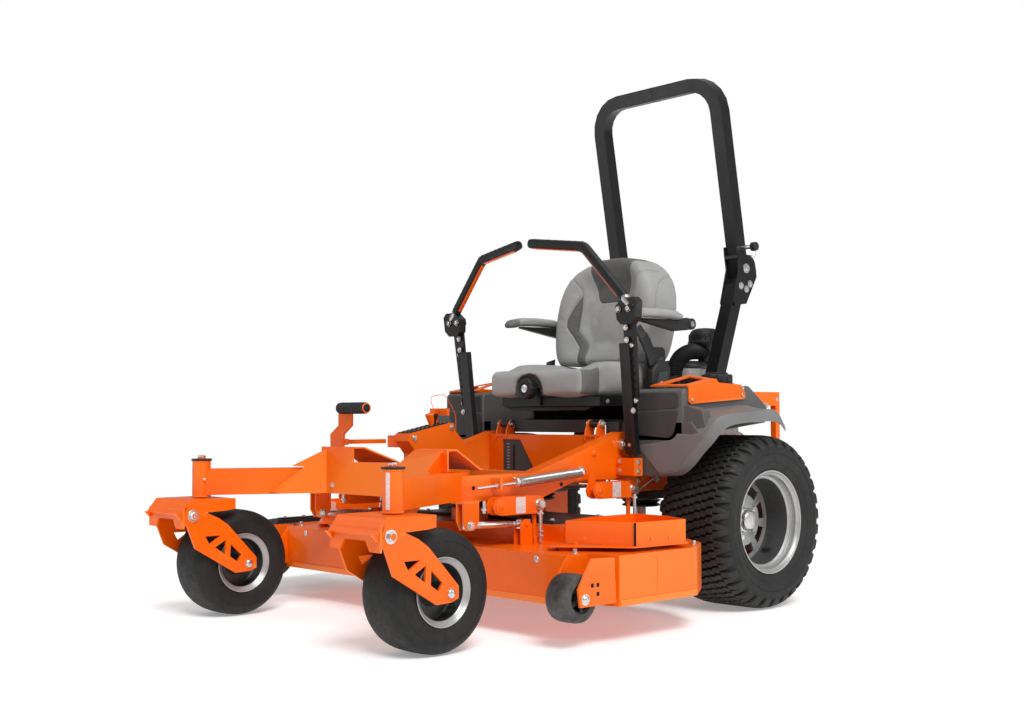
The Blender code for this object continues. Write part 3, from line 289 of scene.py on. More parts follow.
# painted shade: a near-black sheet that stands for the shade inside holes, slots and gaps
HOLE_SHADE = plastic("deep_shadow", rgb(0.004, 0.004, 0.004), 300, 0.8)


# ---------------------------------------------------------------- shapes: each is (points, faces)

def frame_of(direction):
    """Rotation that takes Z onto direction."""
    return Vector(direction).normalized().to_track_quat("Z", "Y").to_matrix()


def placed(shape, centre=(0, 0, 0), direction=None, spin=0.0):
    points, faces = shape
    turn = Matrix.Rotation(spin, 3, "Z")
    if direction is not None:
        turn = frame_of(direction) @ turn
    return [turn @ Vector(p) + Vector(centre) for p in points], faces


def moved(shape, by):
    points, faces = shape
    return [p + by for p in points], faces


def bands(rings, size):
    """Faces between rings of points that follow each other, each ring a closed loop of size points."""
    return [[i * size + k, i * size + (k + 1) % size, (i + 1) * size + (k + 1) % size, (i + 1) * size + k]
            for i in range(rings - 1) for k in range(size)]


def lids(rings, size):
    """The two faces that close the first ring and the last."""
    return [list(range(size))[::-1], list(range((rings - 1) * size, rings * size))]


def lathe(profile, steps=48, closed=False):
    """Turns (radius, height) points about Z. A point on the axis closes that end, and closed joins the last
    point to the first."""
    points, rings = [], []
    for radius, height in profile:
        if radius < 1e-7:
            rings.append([len(points)] * steps)
            points.append(Vector((0, 0, height)))
            continue
        rings.append(list(range(len(points), len(points) + steps)))
        points += [Vector((radius * math.cos(TURN * k / steps), radius * math.sin(TURN * k / steps),
                           height)) for k in range(steps)]
    faces = []
    pairs = list(zip(rings, rings[1:])) + ([(rings[-1], rings[0])] if closed else [])
    for a, b in pairs:
        for k in range(steps):
            n = (k + 1) % steps
            corner = [a[k], a[n], b[n], b[k]]
            corner = [c for i, c in enumerate(corner) if c != corner[i - 1]]
            if len(corner) > 2:
                faces.append(corner)
    return points, faces


def sweep(path, section, closed=False, caps=True, scale=None, up=None):
    """Carries a closed 2D section along a path. up fixes the section's Y, which otherwise turns as little as
    it can."""
    path = [Vector(p) for p in path]
    count, size = len(path), len(section)
    points, faces = [], []
    normal = None
    for i, p in enumerate(path):
        ahead = path[(i + 1) % count] if closed or i < count - 1 else p
        behind = path[i - 1] if closed or i > 0 else p
        tangent = (ahead - behind).normalized()
        if up is not None:
            normal = Vector(up)
        elif normal is None:
            normal = Vector((0, 0, 1)) if abs(tangent.z) < 0.9 else Vector((0, 1, 0))
        normal = (normal - tangent * normal.dot(tangent)).normalized()
        side = normal.cross(tangent)
        s = scale[i] if scale is not None else 1
        points += [p + (side * a + normal * b) * s for a, b in section]
    for i in range(count if closed else count - 1):
        a, b = i * size, ((i + 1) % count) * size
        faces += [[a + k, a + (k + 1) % size, b + (k + 1) % size, b + k] for k in range(size)]
    if caps and not closed:
        faces += [list(range(size))[::-1], list(range((count - 1) * size, count * size))]
    return points, faces


def ring_section(radius, sides=10):
    return [(radius * math.cos(TURN * k / sides), radius * math.sin(TURN * k / sides)) for k
            in range(sides)]


def box_section(wide, tall, corner=0.0015, steps=2):
    """Rounded rectangle."""
    out = []
    for cx, cy, first in ((1, 1, 0), (-1, 1, 1), (-1, -1, 2), (1, -1, 3)):
        for k in range(steps + 1):
            a = math.pi / 2 * (first + k / steps)
            out.append((cx * (wide / 2 - corner) + corner * math.cos(a),
                        cy * (tall / 2 - corner) + corner * math.sin(a)))
    return out


def smooth_path(knots, per=8):
    """Catmull-Rom curve through the knots."""
    knots = [Vector(k) for k in knots]
    ends = [knots[0] * 2 - knots[1], *knots, knots[-1] * 2 - knots[-2]]
    out = []
    for i in range(1, len(ends) - 2):
        p0, p1, p2, p3 = ends[i - 1:i + 3]
        for k in range(per):
            t = k / per
            out.append(0.5 * ((2 * p1) + (p2 - p0) * t + (2 * p0 - 5 * p1 + 4 * p2 - p3) * t * t
                              + (3 * p1 - p0 - 3 * p2 + p3) * t ** 3))
    return out + [knots[-1]]


def prism(outline, depth, bevel=0.0):
    """An outline in XY raised to depth along Z. A bevel chamfers both its rims."""
    n = len(outline)

    def ring(inset, z):
        made = []
        for k in range(n):
            before, here, after = (Vector(outline[i % n]) for i in (k - 1, k, k + 1))
            e1, e2 = (here - before).normalized(), (after - here).normalized()
            n1, n2 = Vector((-e1.y, e1.x)), Vector((-e2.y, e2.x))
            m = n1 + n2
            m = m.normalized() / max(0.35, m.normalized().dot(n1)) if m.length > 1e-6 else n1
            q = here + m * inset
            made.append(Vector((q.x, q.y, z)))
        return made

    area = sum(outline[k - 1][0] * outline[k][1] - outline[k][0] * outline[k - 1][1] for k in range(n))
    sign = 1 if area > 0 else -1
    levels = [(sign * bevel, 0), (0, bevel), (0, depth - bevel),
              (sign * bevel, depth)] if bevel else [(0, 0), (0, depth)]
    points = [p for inset, z in levels for p in ring(inset, z)]
    return points, bands(len(levels), n) + lids(len(levels), n)


def block(low, high, bevel=0.0015):
    """A chamfered box between two corners."""
    (x0, y0, z0), (x1, y1, z1) = low, high
    points, faces = prism([(x0, y0), (x1, y0), (x1, y1), (x0, y1)], z1 - z0, bevel)
    return [Vector((p.x, p.y, p.z + z0)) for p in points], faces


def hexagon(radius, height, chamfer=0.12):
    rim = [(radius * math.cos(TURN * k / 6), radius * math.sin(TURN * k / 6)) for k in range(6)]
    return prism(rim, height, radius * chamfer)


def side_plate(outline, x0, x1, bevel=0.0012):
    """A plate in the YZ plane, between two X."""
    points, faces = prism(outline, x1 - x0, bevel)
    return [Vector((x0 + p.z, p.x, p.y)) for p in points], faces


def front_plate(outline, y0, y1, bevel=0.0012):
    """A plate in the XZ plane, between two Y."""
    points, faces = prism(outline, y1 - y0, bevel)
    return [Vector((p.x, y0 + p.z, p.y)) for p in points], faces


def coil(start, end, radius, wire, turns, per_turn=16, sides=8):
    """A helical spring between two points."""
    start, end = Vector(start), Vector(end)
    turn = frame_of(end - start)
    steps = int(turns * per_turn)
    path = [start + (end - start) * (i / steps) + turn @ Vector((radius * math.cos(TURN * i / per_turn),
                                                                 radius * math.sin(TURN * i / per_turn),
                                                                 0)) for i in range(steps + 1)]
    return sweep(path, ring_section(wire, sides))


class Piece:
    """Shapes in the mower's own frame that become one object riding on one body."""

    def __init__(self, name):
        self.name, self.points, self.faces, self.marks, self.materials = name, [], [], [], []

    def add(self, shape, material, side=1):
        points, faces = shape
        base = len(self.points)
        self.points += [Vector((p[0] * side, p[1], p[2])) for p in points]
        faces = [[base + i for i in face] for face in faces]
        self.faces += [face[::-1] for face in faces] if side < 0 else faces
        if material not in self.materials:
            self.materials.append(material)
        self.marks += [self.materials.index(material)] * len(faces)
        return self

    def turn(self, profile, steps, centre, direction, material, side=1):
        """A lathed profile standing on centre along direction."""
        return self.add(placed(lathe(profile, steps), centre, direction), material, side)

    def pin(self, radius, length, steps, centre, direction, material, side=1):
        """A plain round pin."""
        profile = [(0, 0), (radius, 0), (radius, length), (0, length)]
        return self.turn(profile, steps, centre, direction, material, side)

    def bolt(self, centre, direction, radius=0.006, height=0.005, kind="hex", material=ZINC, side=1,
             washer=True):
        """A hexagon head on a washer, a nut with a thread standing out, or a carriage bolt's dome."""
        direction, centre = Vector(direction).normalized(), Vector(centre)
        thick = radius * 0.22 if washer else 0.0
        if washer:
            wide = radius * 1.55
            self.add(placed(lathe([(0, 0), (wide, 0), (wide, thick * 0.8), (wide * 0.96, thick),
                                   (0, thick)], 20), centre, direction), material, side)
        top = centre + direction * thick
        if kind == "dome":
            arc = [(radius * 1.25 * math.cos(a), height * math.sin(a)) for a in
                   (math.pi / 2 * k / 5 for k in range(5))] + [(0, height)]
            self.add(placed(lathe([(0, 0), *arc], 20), top, direction), material, side)
            return self
        self.add(placed(hexagon(radius, height), top, direction, 0.3), material, side)
        if kind == "nut":
            self.add(placed(lathe([(0, 0), (radius * 0.5, 0), (radius * 0.5, height * 1.7),
                                   (radius * 0.4, height * 1.9), (0, height * 1.9)], 12), top, direction),
                     material, side)
        return self

    def make(self, body, bevel=0.0, segments=2, angle=35, replaces=(), ride=True):
        mesh = bpy.data.meshes.new(self.name)
        mesh.from_pydata([p + ORIGIN for p in self.points], [], self.faces)
        mesh.polygons.foreach_set("material_index", self.marks)
        for material in self.materials:
            mesh.materials.append(material)
        made = bpy.data.objects.new(self.name, mesh)
        bpy.context.scene.collection.objects.link(made)
        tidy = bmesh.new()
        tidy.from_mesh(mesh)
        bmesh.ops.recalc_face_normals(tidy, faces=tidy.faces)
        tidy.to_mesh(mesh)
        tidy.free()
        finish_shading(made, bevel, segments, angle)
        if ride:
            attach(made, body)
        if replaces:
            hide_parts(*replaces)
        return made


def finish_shading(obj, bevel=0.0, segments=2, angle=35):
    """Shades smooth except across sharp edges, and rounds those when a bevel is given."""
    mesh = obj.data
    mesh.polygons.foreach_set("use_smooth", [True] * len(mesh.polygons))
    mesh.set_sharp_from_angle(angle=math.radians(angle))
    if bevel:
        softened = obj.modifiers.new("soft_edges", "BEVEL")
        softened.width, softened.segments = bevel, segments
        softened.limit_method, softened.angle_limit = "ANGLE", math.radians(angle)
        softened.harden_normals = True


# ---------------------------------------------------------------- the CAD nodes that stay

NODE_MATERIALS = {"orange_paint": ORANGE, "black_paint": BLACK, "charcoal_plastic": CHARCOAL,
                  "black_plastic": BLACK_PLASTIC, "tyre_rubber": SIDEWALL, "soft_rubber": SOFT_RUBBER,
                  "rim_paint": RIM, "zinc_steel": ZINC, "grey_vinyl": SEAT_VINYL, "engine_alloy": ALLOY}


def dress_nodes():
    """Gives every CAD node its material, and rounds its edges so that they catch the light."""
    for name, node in NODES.items():
        for slot in node.material_slots:
            slot.material = NODE_MATERIALS[slot.material.name.split(".")[0]]
        weld = node.modifiers.new("weld", "WELD")
        weld.merge_threshold = 0.00002
        soft = node.modifiers.new("soft_edges", "BEVEL")
        soft.width, soft.segments = (0.0042, 3) if name in ("rops_hoop", "rops_frame") else (0.0013, 2)
        soft.limit_method, soft.angle_limit = "ANGLE", math.radians(32)
        soft.use_clamp_overlap = True
        soft.harden_normals = False
        node.data.polygons.foreach_set("use_smooth", [True] * len(node.data.polygons))
        even = node.modifiers.new("even_normals", "WEIGHTED_NORMAL")
        even.keep_sharp = False
        even.weight = 60


dress_nodes()


# ---------------------------------------------------------------- floor, light and camera

def make_stage():
    g = Graph("floor_surface")
    base = g.mix(g.ramp(g.noise(1.5, 4), 0.3, 0.7), rgb(0.91, 0.91, 0.91), rgb(0.93, 0.93, 0.93))
    g.done(base, g.ramp(g.noise(9, 3), 0.3, 0.7, 0.75, 0.9), g.bump(g.noise(60), 0.02, 0.001),
           Emission_Color=rgb(1.0, 1.0, 1.0), Emission_Strength=0.26)
    mesh = bpy.data.meshes.new("floor")
    half = 60.0
    mesh.from_pydata([(-half, -half, 0), (half, -half, 0), (half, half, 0), (-half, half, 0)], [],
                     [(0, 1, 2, 3)])
    mesh.materials.append(g.material)
    floor = bpy.data.objects.new("floor", mesh)
    floor.location = (ORIGIN.x, ORIGIN.y, CAD_BOX[0].z - 0.0005)
    bpy.context.scene.collection.objects.link(floor)

    world = bpy.data.worlds.new("studio")
    world.use_nodes = True
    tree = world.node_tree
    backdrop = tree.nodes["Background"]
    backdrop.inputs[0].default_value = rgb(1.0, 1.0, 1.0)
    ray = tree.nodes.new("ShaderNodeLightPath")
    level = tree.nodes.new("ShaderNodeMapRange")
    level.inputs["To Min"].default_value, level.inputs["To Max"].default_value = 0.3, 1.0
    tree.links.new(ray.outputs["Is Camera Ray"], level.inputs["Value"])
    tree.links.new(level.outputs[0], backdrop.inputs[1])
    bpy.context.scene.world = world
    bpy.context.scene.view_settings.view_transform = "Standard"

    sun = bpy.data.lights.new("key", "SUN")
    sun.energy, sun.angle = 2.35, math.radians(24)
    key = bpy.data.objects.new("key", sun)
    key.rotation_euler = Vector((0.9, -0.45, 1.15)).to_track_quat("Z", "Y").to_euler()
    bpy.context.scene.collection.objects.link(key)
    for name, place, size, power in (
        ("softbox_right", (3.6, 1.2, 1.8), (1.2, 2.4), 30),
        ("softbox_left", (-2.4, -3.0, 2.2), (1.0, 2.2), 16),
        ("softbox_top", (0.2, 0.4, 3.4), (2.4, 1.6), 20),
    ):
        lamp = bpy.data.lights.new(name, "AREA")
        lamp.shape, lamp.size, lamp.size_y, lamp.energy = "RECTANGLE", size[0], size[1], power
        lit = bpy.data.objects.new(name, lamp)
        lit.location = Vector(place) + ORIGIN
        lit.rotation_euler = (Vector(place) - Vector((0, -0.3, 0.5))).to_track_quat("Z", "Y").to_euler()
        bpy.context.scene.collection.objects.link(lit)


def make_camera():
    """Three-quarter view from the front, on the driver's left, a little below the seat."""
    azimuth, elevation, roll = math.radians(46.469), math.radians(-2.5543), math.radians(-0.1343)
    back = Vector((math.sin(azimuth) * math.cos(elevation), -math.cos(azimuth) * math.cos(elevation),
                   math.sin(elevation)))
    right = (-back).cross(Vector((0, 0, 1))).normalized()
    up = right.cross(-back)
    c, s = math.cos(roll), math.sin(roll)
    right, up = c * right + s * up, c * up - s * right
    camera = bpy.data.cameras.new("camera")
    camera.lens, camera.sensor_width = 45.2, 36.0
    camera.clip_start, camera.clip_end = 0.05, 200
    seen = bpy.data.objects.new("camera", camera)
    turn = Matrix((right, up, back)).transposed().to_4x4()
    seen.matrix_world = Matrix.Translation(ORIGIN + Vector((3.12154, -3.48093, 0.61934))) @ turn
    bpy.context.scene.collection.objects.link(seen)
    bpy.context.scene.camera = seen


make_stage()
make_camera()

# ---------------------------------------------------------------- rear wheels

WHEEL_RADIUS = 0.28
REAR_CENTRE = Vector((0.55, 0.0, WHEEL_RADIUS))
PITCHES = 64


def crown(x):
    """Radius of the tread's outer surface at a distance x from the tyre's middle."""
    x = abs(x)
    return 0.2796 - 0.9 * max(0.0, x - 0.062) ** 2 - 0.35 * max(0.0, x - 0.085) ** 1.5


def round_wheel(points):
    """(x, arc, radius) points to the wheel's own frame, with its axle along X."""
    made = []
    for x, arc, radius in points:
        a = arc / WHEEL_RADIUS
        made.append(Vector((x, radius * math.sin(a), radius * math.cos(a))))
    return made


def tread_block(x, arc, wide, long, jog):
    """One Z-shaped block, chamfered at the top and flared at its foot."""
    w, h, a = wide / 2, long / 2, 0.004
    rim = [(-w, -h - jog), (-a, -h - jog), (a, -h + jog), (w, -h + jog), (w, h + jog), (a, h + jog),
           (-a, h - jog), (-w, h - jog)]
    rings = []
    for grow, depth in ((1.1, 0.0112), (1.0, 0.0014), (0.9, 0.0)):
        rings += [(x + u * (grow if grow > 1 else 0.5 + grow / 2), arc + v * grow, crown(x + u) - depth)
                  for u, v in rim]
    return round_wheel(rings), bands(3, 8) + [list(range(16, 24))]


def shoulder_lug(way, arc, sway):
    """A lug that wraps from the tread down over the shoulder."""
    stations = ((0.0955, 0.01, 0.0), (0.108, 0.0098, 0.25), (0.118, 0.0092, 0.6), (0.127, 0.0085, 0.9),
                (0.1325, 0.0076, 1.0), (0.135, 0.0066, 1.0))
    heights = (0.2772, 0.2752, 0.2712, 0.264, 0.255, 0.248)
    floors = (0.2675, 0.266, 0.2625, 0.256, 0.248, 0.2425)
    points, faces = [], []
    for (x, half, bend), high, low in zip(stations, heights, floors):
        middle = arc + sway * bend
        points += [(way * (x - 0.002), middle - half - 0.0012, low), (way * x, middle - half, high - 0.001),
                   (way * x, middle - half + 0.0012, high), (way * x, middle + half - 0.0012, high),
                   (way * x, middle + half, high - 0.001), (way * (x - 0.002), middle + half + 0.0012, low)]
    for i in range(len(stations) - 1):
        for k in range(5):
            a = i * 6 + k
            faces.append([a, a + 1, a + 7, a + 6])
    faces += [[0, 1, 2, 3, 4, 5], list(range(len(points) - 6, len(points)))]
    return round_wheel(points), faces


def on_axle(profile, steps=96, closed=True):
    """Turns (x, radius) points about the X axis."""
    return placed(lathe([(r, x) for x, r in profile], steps, closed), direction=(1, 0, 0))


def slotted_disc(rings, spokes, window, x_front, x_back, steps=12):
    """A disc about X whose band between rings[1] and rings[2] is pierced by windows between its spokes."""
    columns = spokes * steps
    points, faces = [], []
    for x_of in (x_front, x_back):
        for i, r in enumerate(rings):
            for k in range(columns):
                a = TURN * k / columns
                points.append(Vector((x_of(r), r * math.cos(a), r * math.sin(a))))
    count = len(rings) * columns

    def there(i, k):
        return 0 <= i < len(rings) - 1 and not (i == 1 and k % steps < window)

    for i in range(len(rings) - 1):
        for k in range(columns):
            if not there(i, k):
                continue
            n = (k + 1) % columns
            a, b, c, d = i * columns + k, i * columns + n, (i + 1) * columns + n, (i + 1) * columns + k
            faces += [[a, b, c, d], [a + count, d + count, c + count, b + count]]
            for near, p, q in (((i - 1, k), a, b), ((i + 1, k), c, d), ((i, k - 1), d, a),
                               ((i, (k + 1)), b, c)):
                if not there(near[0], near[1] % columns):
                    faces.append([p, p + count, q + count, q])
    return points, faces


def make_rear_wheels():
    half = [(0.0, 0.269), (0.06, 0.2685), (0.088, 0.2675), (0.104, 0.2655), (0.115, 0.261), (0.124, 0.2545),
            (0.1315, 0.2465), (0.1355, 0.24), (0.1378, 0.233), (0.1388, 0.226), (0.1386, 0.2232),
            (0.137, 0.2218), (0.1382, 0.2204), (0.1376, 0.212), (0.1352, 0.201), (0.1315, 0.19),
            (0.1275, 0.18), (0.1235, 0.1725), (0.1205, 0.169), (0.1175, 0.164)]
    carcass = [(-x, r) for x, r in reversed(half[1:])] + half
    for name, side in SIDES:
        centre = Vector((REAR_CENTRE.x * side, REAR_CENTRE.y, REAR_CENTRE.z))

        tyre = Piece("rear_tyre_moulded_" + name)
        tyre.add(moved(on_axle(carcass, 192), centre), SIDEWALL)
        pitch = TURN * WHEEL_RADIUS / PITCHES
        columns = ((-0.0705, 0.0), (-0.0235, 0.5), (0.0235, 0.0), (0.0705, 0.5))
        for k in range(PITCHES):
            for x, shift in columns:
                tyre.add(moved(tread_block(x, (k + shift) * pitch, 0.044, 0.0185, 0.0042), centre), TREAD)
            for way, shift in ((1, 0.0), (-1, 0.5)):
                tyre.add(moved(shoulder_lug(way, (k + shift) * pitch, 0.007 * (1 if k % 2 else -1)),
                               centre), TREAD)
        # a raised ring on each sidewall
        for way in (1, -1):
            tyre.add(moved(on_axle([(way * 0.1322, 0.192), (way * 0.1338, 0.1925), (way * 0.1342, 0.1945),
                                 (way * 0.133, 0.195)], 160), centre), SIDEWALL)
        tyre.make("rear_wheel_" + name, angle=38, replaces=("rear_tyre_" + name,))

        rim = Piece("rear_rim_pressed_" + name)
        for way in (1, -1):
            rim.add(moved(on_axle([(way * x, r) for x, r in ((0.115, 0.164), (0.1205, 0.1655),
                                                             (0.1222, 0.1666), (0.1236, 0.166),
                                                             (0.124, 0.164), (0.1228, 0.1618),
                                                             (0.119, 0.16), (0.114, 0.156), (0.112, 0.1525),
                                                             (0.096, 0.15), (0.0925, 0.1475),
                                                             (0.0905, 0.142), (0.088, 0.1395),
                                                             (0.06, 0.1382), (0.0, 0.1382), (0.0, 0.142),
                                                             (0.086, 0.144), (0.108, 0.155))], 128),
                          centre), RIM)
        # painted shade: the barrel inside the rim is coloured dark grey for the shade that falls in it
        rim.add(moved(on_axle([(0.087, 0.1392), (0.06, 0.1378), (-0.08, 0.1378), (-0.087, 0.1392),
                               (-0.087, 0.138), (-0.08, 0.1366), (0.06, 0.1366), (0.087, 0.138)], 128),
                      centre), RIM_INNER_SHADE)
        dish = (lambda r: side * (0.013 if r < 0.07 else 0.013 - (r - 0.07) * 0.1),
                lambda r: side * (0.006 if r < 0.07 else 0.006 - (r - 0.07) * 0.1))
        rim.add(moved(slotted_disc((0.031, 0.085, 0.124, 0.1375), 8, 8, *dish), centre), RIM)
        rim.add(moved(on_axle([(side * x, r) for x, r in ((0.0135, 0.0405), (0.025, 0.0395),
                                                          (0.0262, 0.037), (0.0262, 0.034), (0.039, 0.032),
                                                          (0.0425, 0.028), (0.0435, 0.02), (0.0438, 0.0))],
                              64, False), centre), ZINC)
        for k in range(5):
            a = TURN * (k + 0.5) / 5
            rim.bolt(centre + Vector((side * 0.0132, 0.058 * math.cos(a), 0.058 * math.sin(a))),
                     (side, 0, 0), 0.0095, 0.009)
        a = math.radians(-52)
        stem = Vector((side * 0.03, 0.126 * math.cos(a), 0.126 * math.sin(a)))
        rim.add(moved(placed(lathe([(0, 0), (0.006, 0), (0.0058, 0.012), (0.004, 0.016), (0.004, 0.03),
                                    (0.0034, 0.032), (0, 0.032)], 16), stem, (side, 0.15, 0.1)), centre),
                BLACK_PLASTIC)
        rim.make("rear_wheel_" + name, angle=32, replaces=("rear_rim_" + name,))


make_rear_wheels()


# ---------------------------------------------------------------- caster wheels

CASTER_X, CASTER_Y, CASTER_RADIUS = 0.483, -1.291, 0.165
FORK_PIVOT_Y = -1.401


def make_caster_wheels():
    half = [(0.0, 0.165), (0.03, 0.1646), (0.048, 0.1634), (0.06, 0.161), (0.0685, 0.1568),
            (0.0745, 0.1505), (0.0785, 0.1425), (0.0806, 0.133), (0.0812, 0.124), (0.0806, 0.115),
            (0.0786, 0.106), (0.076, 0.099), (0.0735, 0.0945), (0.0712, 0.09)]
    carcass = [(-x, r) for x, r in reversed(half[1:])] + half
    for name, side in SIDES:
        centre = Vector((CASTER_X * side, CASTER_Y, CASTER_RADIUS))

        tyre = Piece("caster_tyre_moulded_" + name)
        tyre.add(moved(on_axle(carcass, 144), centre), CASTER_RUBBER)
        for way in (1, -1):
            for x, r in ((0.0818, 0.1335), (0.08, 0.112)):
                tyre.add(moved(on_axle([(way * (x - 0.0022), r + 0.0012), (way * x, r + 0.0005),
                                        (way * x, r - 0.0005), (way * (x - 0.0022), r - 0.0012)], 120),
                               centre), CASTER_RUBBER)
        tyre.make("caster_wheel_" + name, angle=40, replaces=("caster_tyre_" + name,))
        rim = Piece("caster_rim_pressed_" + name)
        for way in (1, -1):
            rim.add(moved(on_axle([(way * x, r) for x, r in ((0.069, 0.0895), (0.0728, 0.0905),
                                                             (0.0745, 0.092), (0.0756, 0.0912),
                                                             (0.0756, 0.0895), (0.0736, 0.0875),
                                                             (0.069, 0.083), (0.0665, 0.078),
                                                             (0.064, 0.0755), (0.04, 0.0745),
                                                             (0.04, 0.0765), (0.062, 0.0775))], 96),
                          centre), RIM)
            # painted shade: the recessed dish and hub are coloured dark grey for the shade inside the wheel
            rim.add(moved(on_axle([(way * x, r) for x, r in ((0.063, 0.0752), (0.024, 0.074),
                                                             (0.0205, 0.07), (0.0215, 0.042),
                                                             (0.03, 0.0345), (0.06, 0.03), (0.08, 0.0275),
                                                             (0.0826, 0.0255), (0.083, 0.02),
                                                             (0.083, 0.0125))], 96, False), centre),
                    RIM_INNER_SHADE)
            rim.add(moved(on_axle([(way * x, r) for x, r in ((0.0822, 0.021), (0.0845, 0.0205),
                                                             (0.085, 0.018), (0.085, 0.012),
                                                             (0.0822, 0.012))], 48), centre), ZINC)
        # painted shade: the axle sleeve is dark grey for the shade inside the hub
        rim.add(moved(on_axle([(0.0832, 0.0128), (-0.0832, 0.0128), (-0.0832, 0.01), (0.0832, 0.01)], 32),
                      centre), RIM_INNER_SHADE)
        a = math.radians(-35)
        rim.add(moved(placed(lathe([(0, 0), (0.0052, 0), (0.005, 0.01), (0.0036, 0.013), (0.0036, 0.026),
                                    (0, 0.027)], 14), (side * 0.033, 0.062 * math.cos(a),
                                                       0.062 * math.sin(a)), (side, 0.1, 0.05)), centre),
                BLACK_PLASTIC)
        rim.make("caster_wheel_" + name, angle=32, replaces=("caster_rim_" + name,))


make_caster_wheels()


# ---------------------------------------------------------------- seat: sewn covers puffed over foam


def solid_object(name, points, faces):
    mesh = bpy.data.meshes.new(name)
    mesh.from_pydata([Vector(p) + ORIGIN for p in points], [], faces)
    made = bpy.data.objects.new(name, mesh)
    bpy.context.scene.collection.objects.link(made)
    tidy = bmesh.new()
    tidy.from_mesh(mesh)
    bmesh.ops.remove_doubles(tidy, verts=tidy.verts, dist=1e-6)
    bmesh.ops.recalc_face_normals(tidy, faces=tidy.faces)
    tidy.to_mesh(mesh)
    tidy.free()
    return made


def settle(obj, kind, **settings):
    """Adds one modifier and bakes it into the mesh."""
    step = obj.modifiers.new("step", kind)
    for key, value in settings.items():
        setattr(step, key, value)
    graph = bpy.context.evaluated_depsgraph_get()
    mesh = bpy.data.meshes.new_from_object(obj.evaluated_get(graph))
    obj.modifiers.clear()
    obj.data = mesh


def to_line(p, line):
    """Distance from a 2D point to a polyline."""
    best = 9.0
    for a, b in zip(line, line[1:]):
        ax, ay, bx, by = *a, *b
        dx, dy = bx - ax, by - ay
        t = max(0.0, min(1.0, ((p[0] - ax) * dx + (p[1] - ay) * dy) / (dx * dx + dy * dy)))
        best = min(best, math.hypot(p[0] - ax - t * dx, p[1] - ay - t * dy))
    return best


def inside(p, outline):
    """Signed distance to a closed outline, positive inside."""
    hit = False
    for a, b in zip(outline, outline[1:] + outline[:1]):
        if (a[1] > p[1]) != (b[1] > p[1]) and p[0] < (b[0] - a[0]) * (p[1] - a[1]) / (b[1] - a[1]) + a[0]:
            hit = not hit
    gap = to_line(p, outline + outline[:1])
    return gap if hit else -gap


def upholster(obj, seam_of, tone_of, voxel, pressure, cap, body, node, material, pinch=0.0022):
    """Remeshes a padded solid, blows its cover out between the seams, and marks its seams and dark panels.
    seam_of and tone_of take a point in the mower's own frame and give the attributes that vinyl() reads."""
    settle(obj, "REMESH", mode="VOXEL", voxel_size=voxel)
    settle(obj, "SMOOTH", factor=0.6, iterations=4)
    start = [v.co.copy() for v in obj.data.vertices]
    pins = obj.vertex_groups.new(name="sewn")
    for i, p in enumerate(start):
        near = seam_of(p - ORIGIN)
        if near < voxel * 0.9:
            pins.add([i], 1.0, "REPLACE")
    cloth = obj.modifiers.new("cover", "CLOTH")
    cloth.settings.quality = 4
    cloth.settings.mass = 0.3
    cloth.settings.tension_stiffness = cloth.settings.compression_stiffness = 40
    cloth.settings.bending_stiffness = 12
    cloth.settings.use_pressure = True
    cloth.settings.uniform_pressure_force = pressure
    cloth.settings.shrink_min = -0.004
    cloth.settings.vertex_group_mass = "sewn"
    cloth.settings.effector_weights.gravity = 0
    cloth.settings.air_damping = 4
    cloth.collision_settings.use_self_collision = False
    for frame_number in range(1, 15):
        bpy.context.scene.frame_set(frame_number)
    graph = bpy.context.evaluated_depsgraph_get()
    blown = bpy.data.meshes.new_from_object(obj.evaluated_get(graph))
    obj.modifiers.clear()
    obj.vertex_groups.clear()
    obj.data = blown
    bpy.context.scene.frame_set(1)
    for v, was in zip(obj.data.vertices, start):
        moved = v.co - was
        if moved.length > cap:
            v.co = was + moved * (cap / moved.length)
    settle(obj, "SMOOTH", factor=0.5, iterations=6)
    settle(obj, "SUBSURF", levels=1, render_levels=1)
    settle(obj, "SMOOTH", factor=0.5, iterations=2)
    mesh = obj.data
    normals = [v.normal.copy() for v in mesh.vertices]
    tone = mesh.attributes.new("tone", "FLOAT", "POINT")
    seam = mesh.attributes.new("seam", "FLOAT", "POINT")
    for v, n in zip(mesh.vertices, normals):
        p = v.co - ORIGIN
        gap = seam_of(p)
        tone.data[v.index].value = tone_of(p)
        seam.data[v.index].value = min(gap, 0.05)
        v.co -= n * pinch * math.exp(-(gap / 0.0042) ** 2)
    mesh.materials.clear()
    mesh.materials.append(material)
    finish_shading(obj, angle=180)
    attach(obj, body)
    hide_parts(node)


def smooth(value, low, high):
    t = max(0.0, min(1.0, (value - low) / (high - low)))
    return t * t * (3 - 2 * t)


BACK_HALF = ((0.8065, 0.19), (0.835, 0.211), (0.875, 0.2215), (0.92, 0.2275), (0.965, 0.2285),
             (1.01, 0.227), (1.055, 0.2205), (1.095, 0.206), (1.128, 0.184), (1.155, 0.154), (1.176, 0.118),
             (1.19, 0.076), (1.1965, 0.036), (1.198, 0.0))
BOLSTER_SEAM = [(0.112, 0.79), (0.114, 0.873), (0.136, 0.915), (0.158, 0.95), (0.16, 0.975), (0.142, 1.02),
                (0.121, 1.066), (0.126, 1.09), (0.15, 1.122), (0.19, 1.15)]
CENTRE_SEAM = [(0.088, 0.79), (0.088, 0.88), (0.106, 0.908), (0.122, 0.934), (0.121, 0.975), (0.119, 1.02),
               (0.121, 1.066)]
CHEVRON = BOLSTER_SEAM[:7] + CENTRE_SEAM[:-1][::-1]
HEAD_PANEL = [(-0.108, 1.23), (-0.088, 1.12), (-0.071, 1.06), (-0.066, 1.045), (-0.054, 1.036),
              (0.054, 1.036), (0.066, 1.045), (0.071, 1.06), (0.088, 1.12), (0.108, 1.23)]
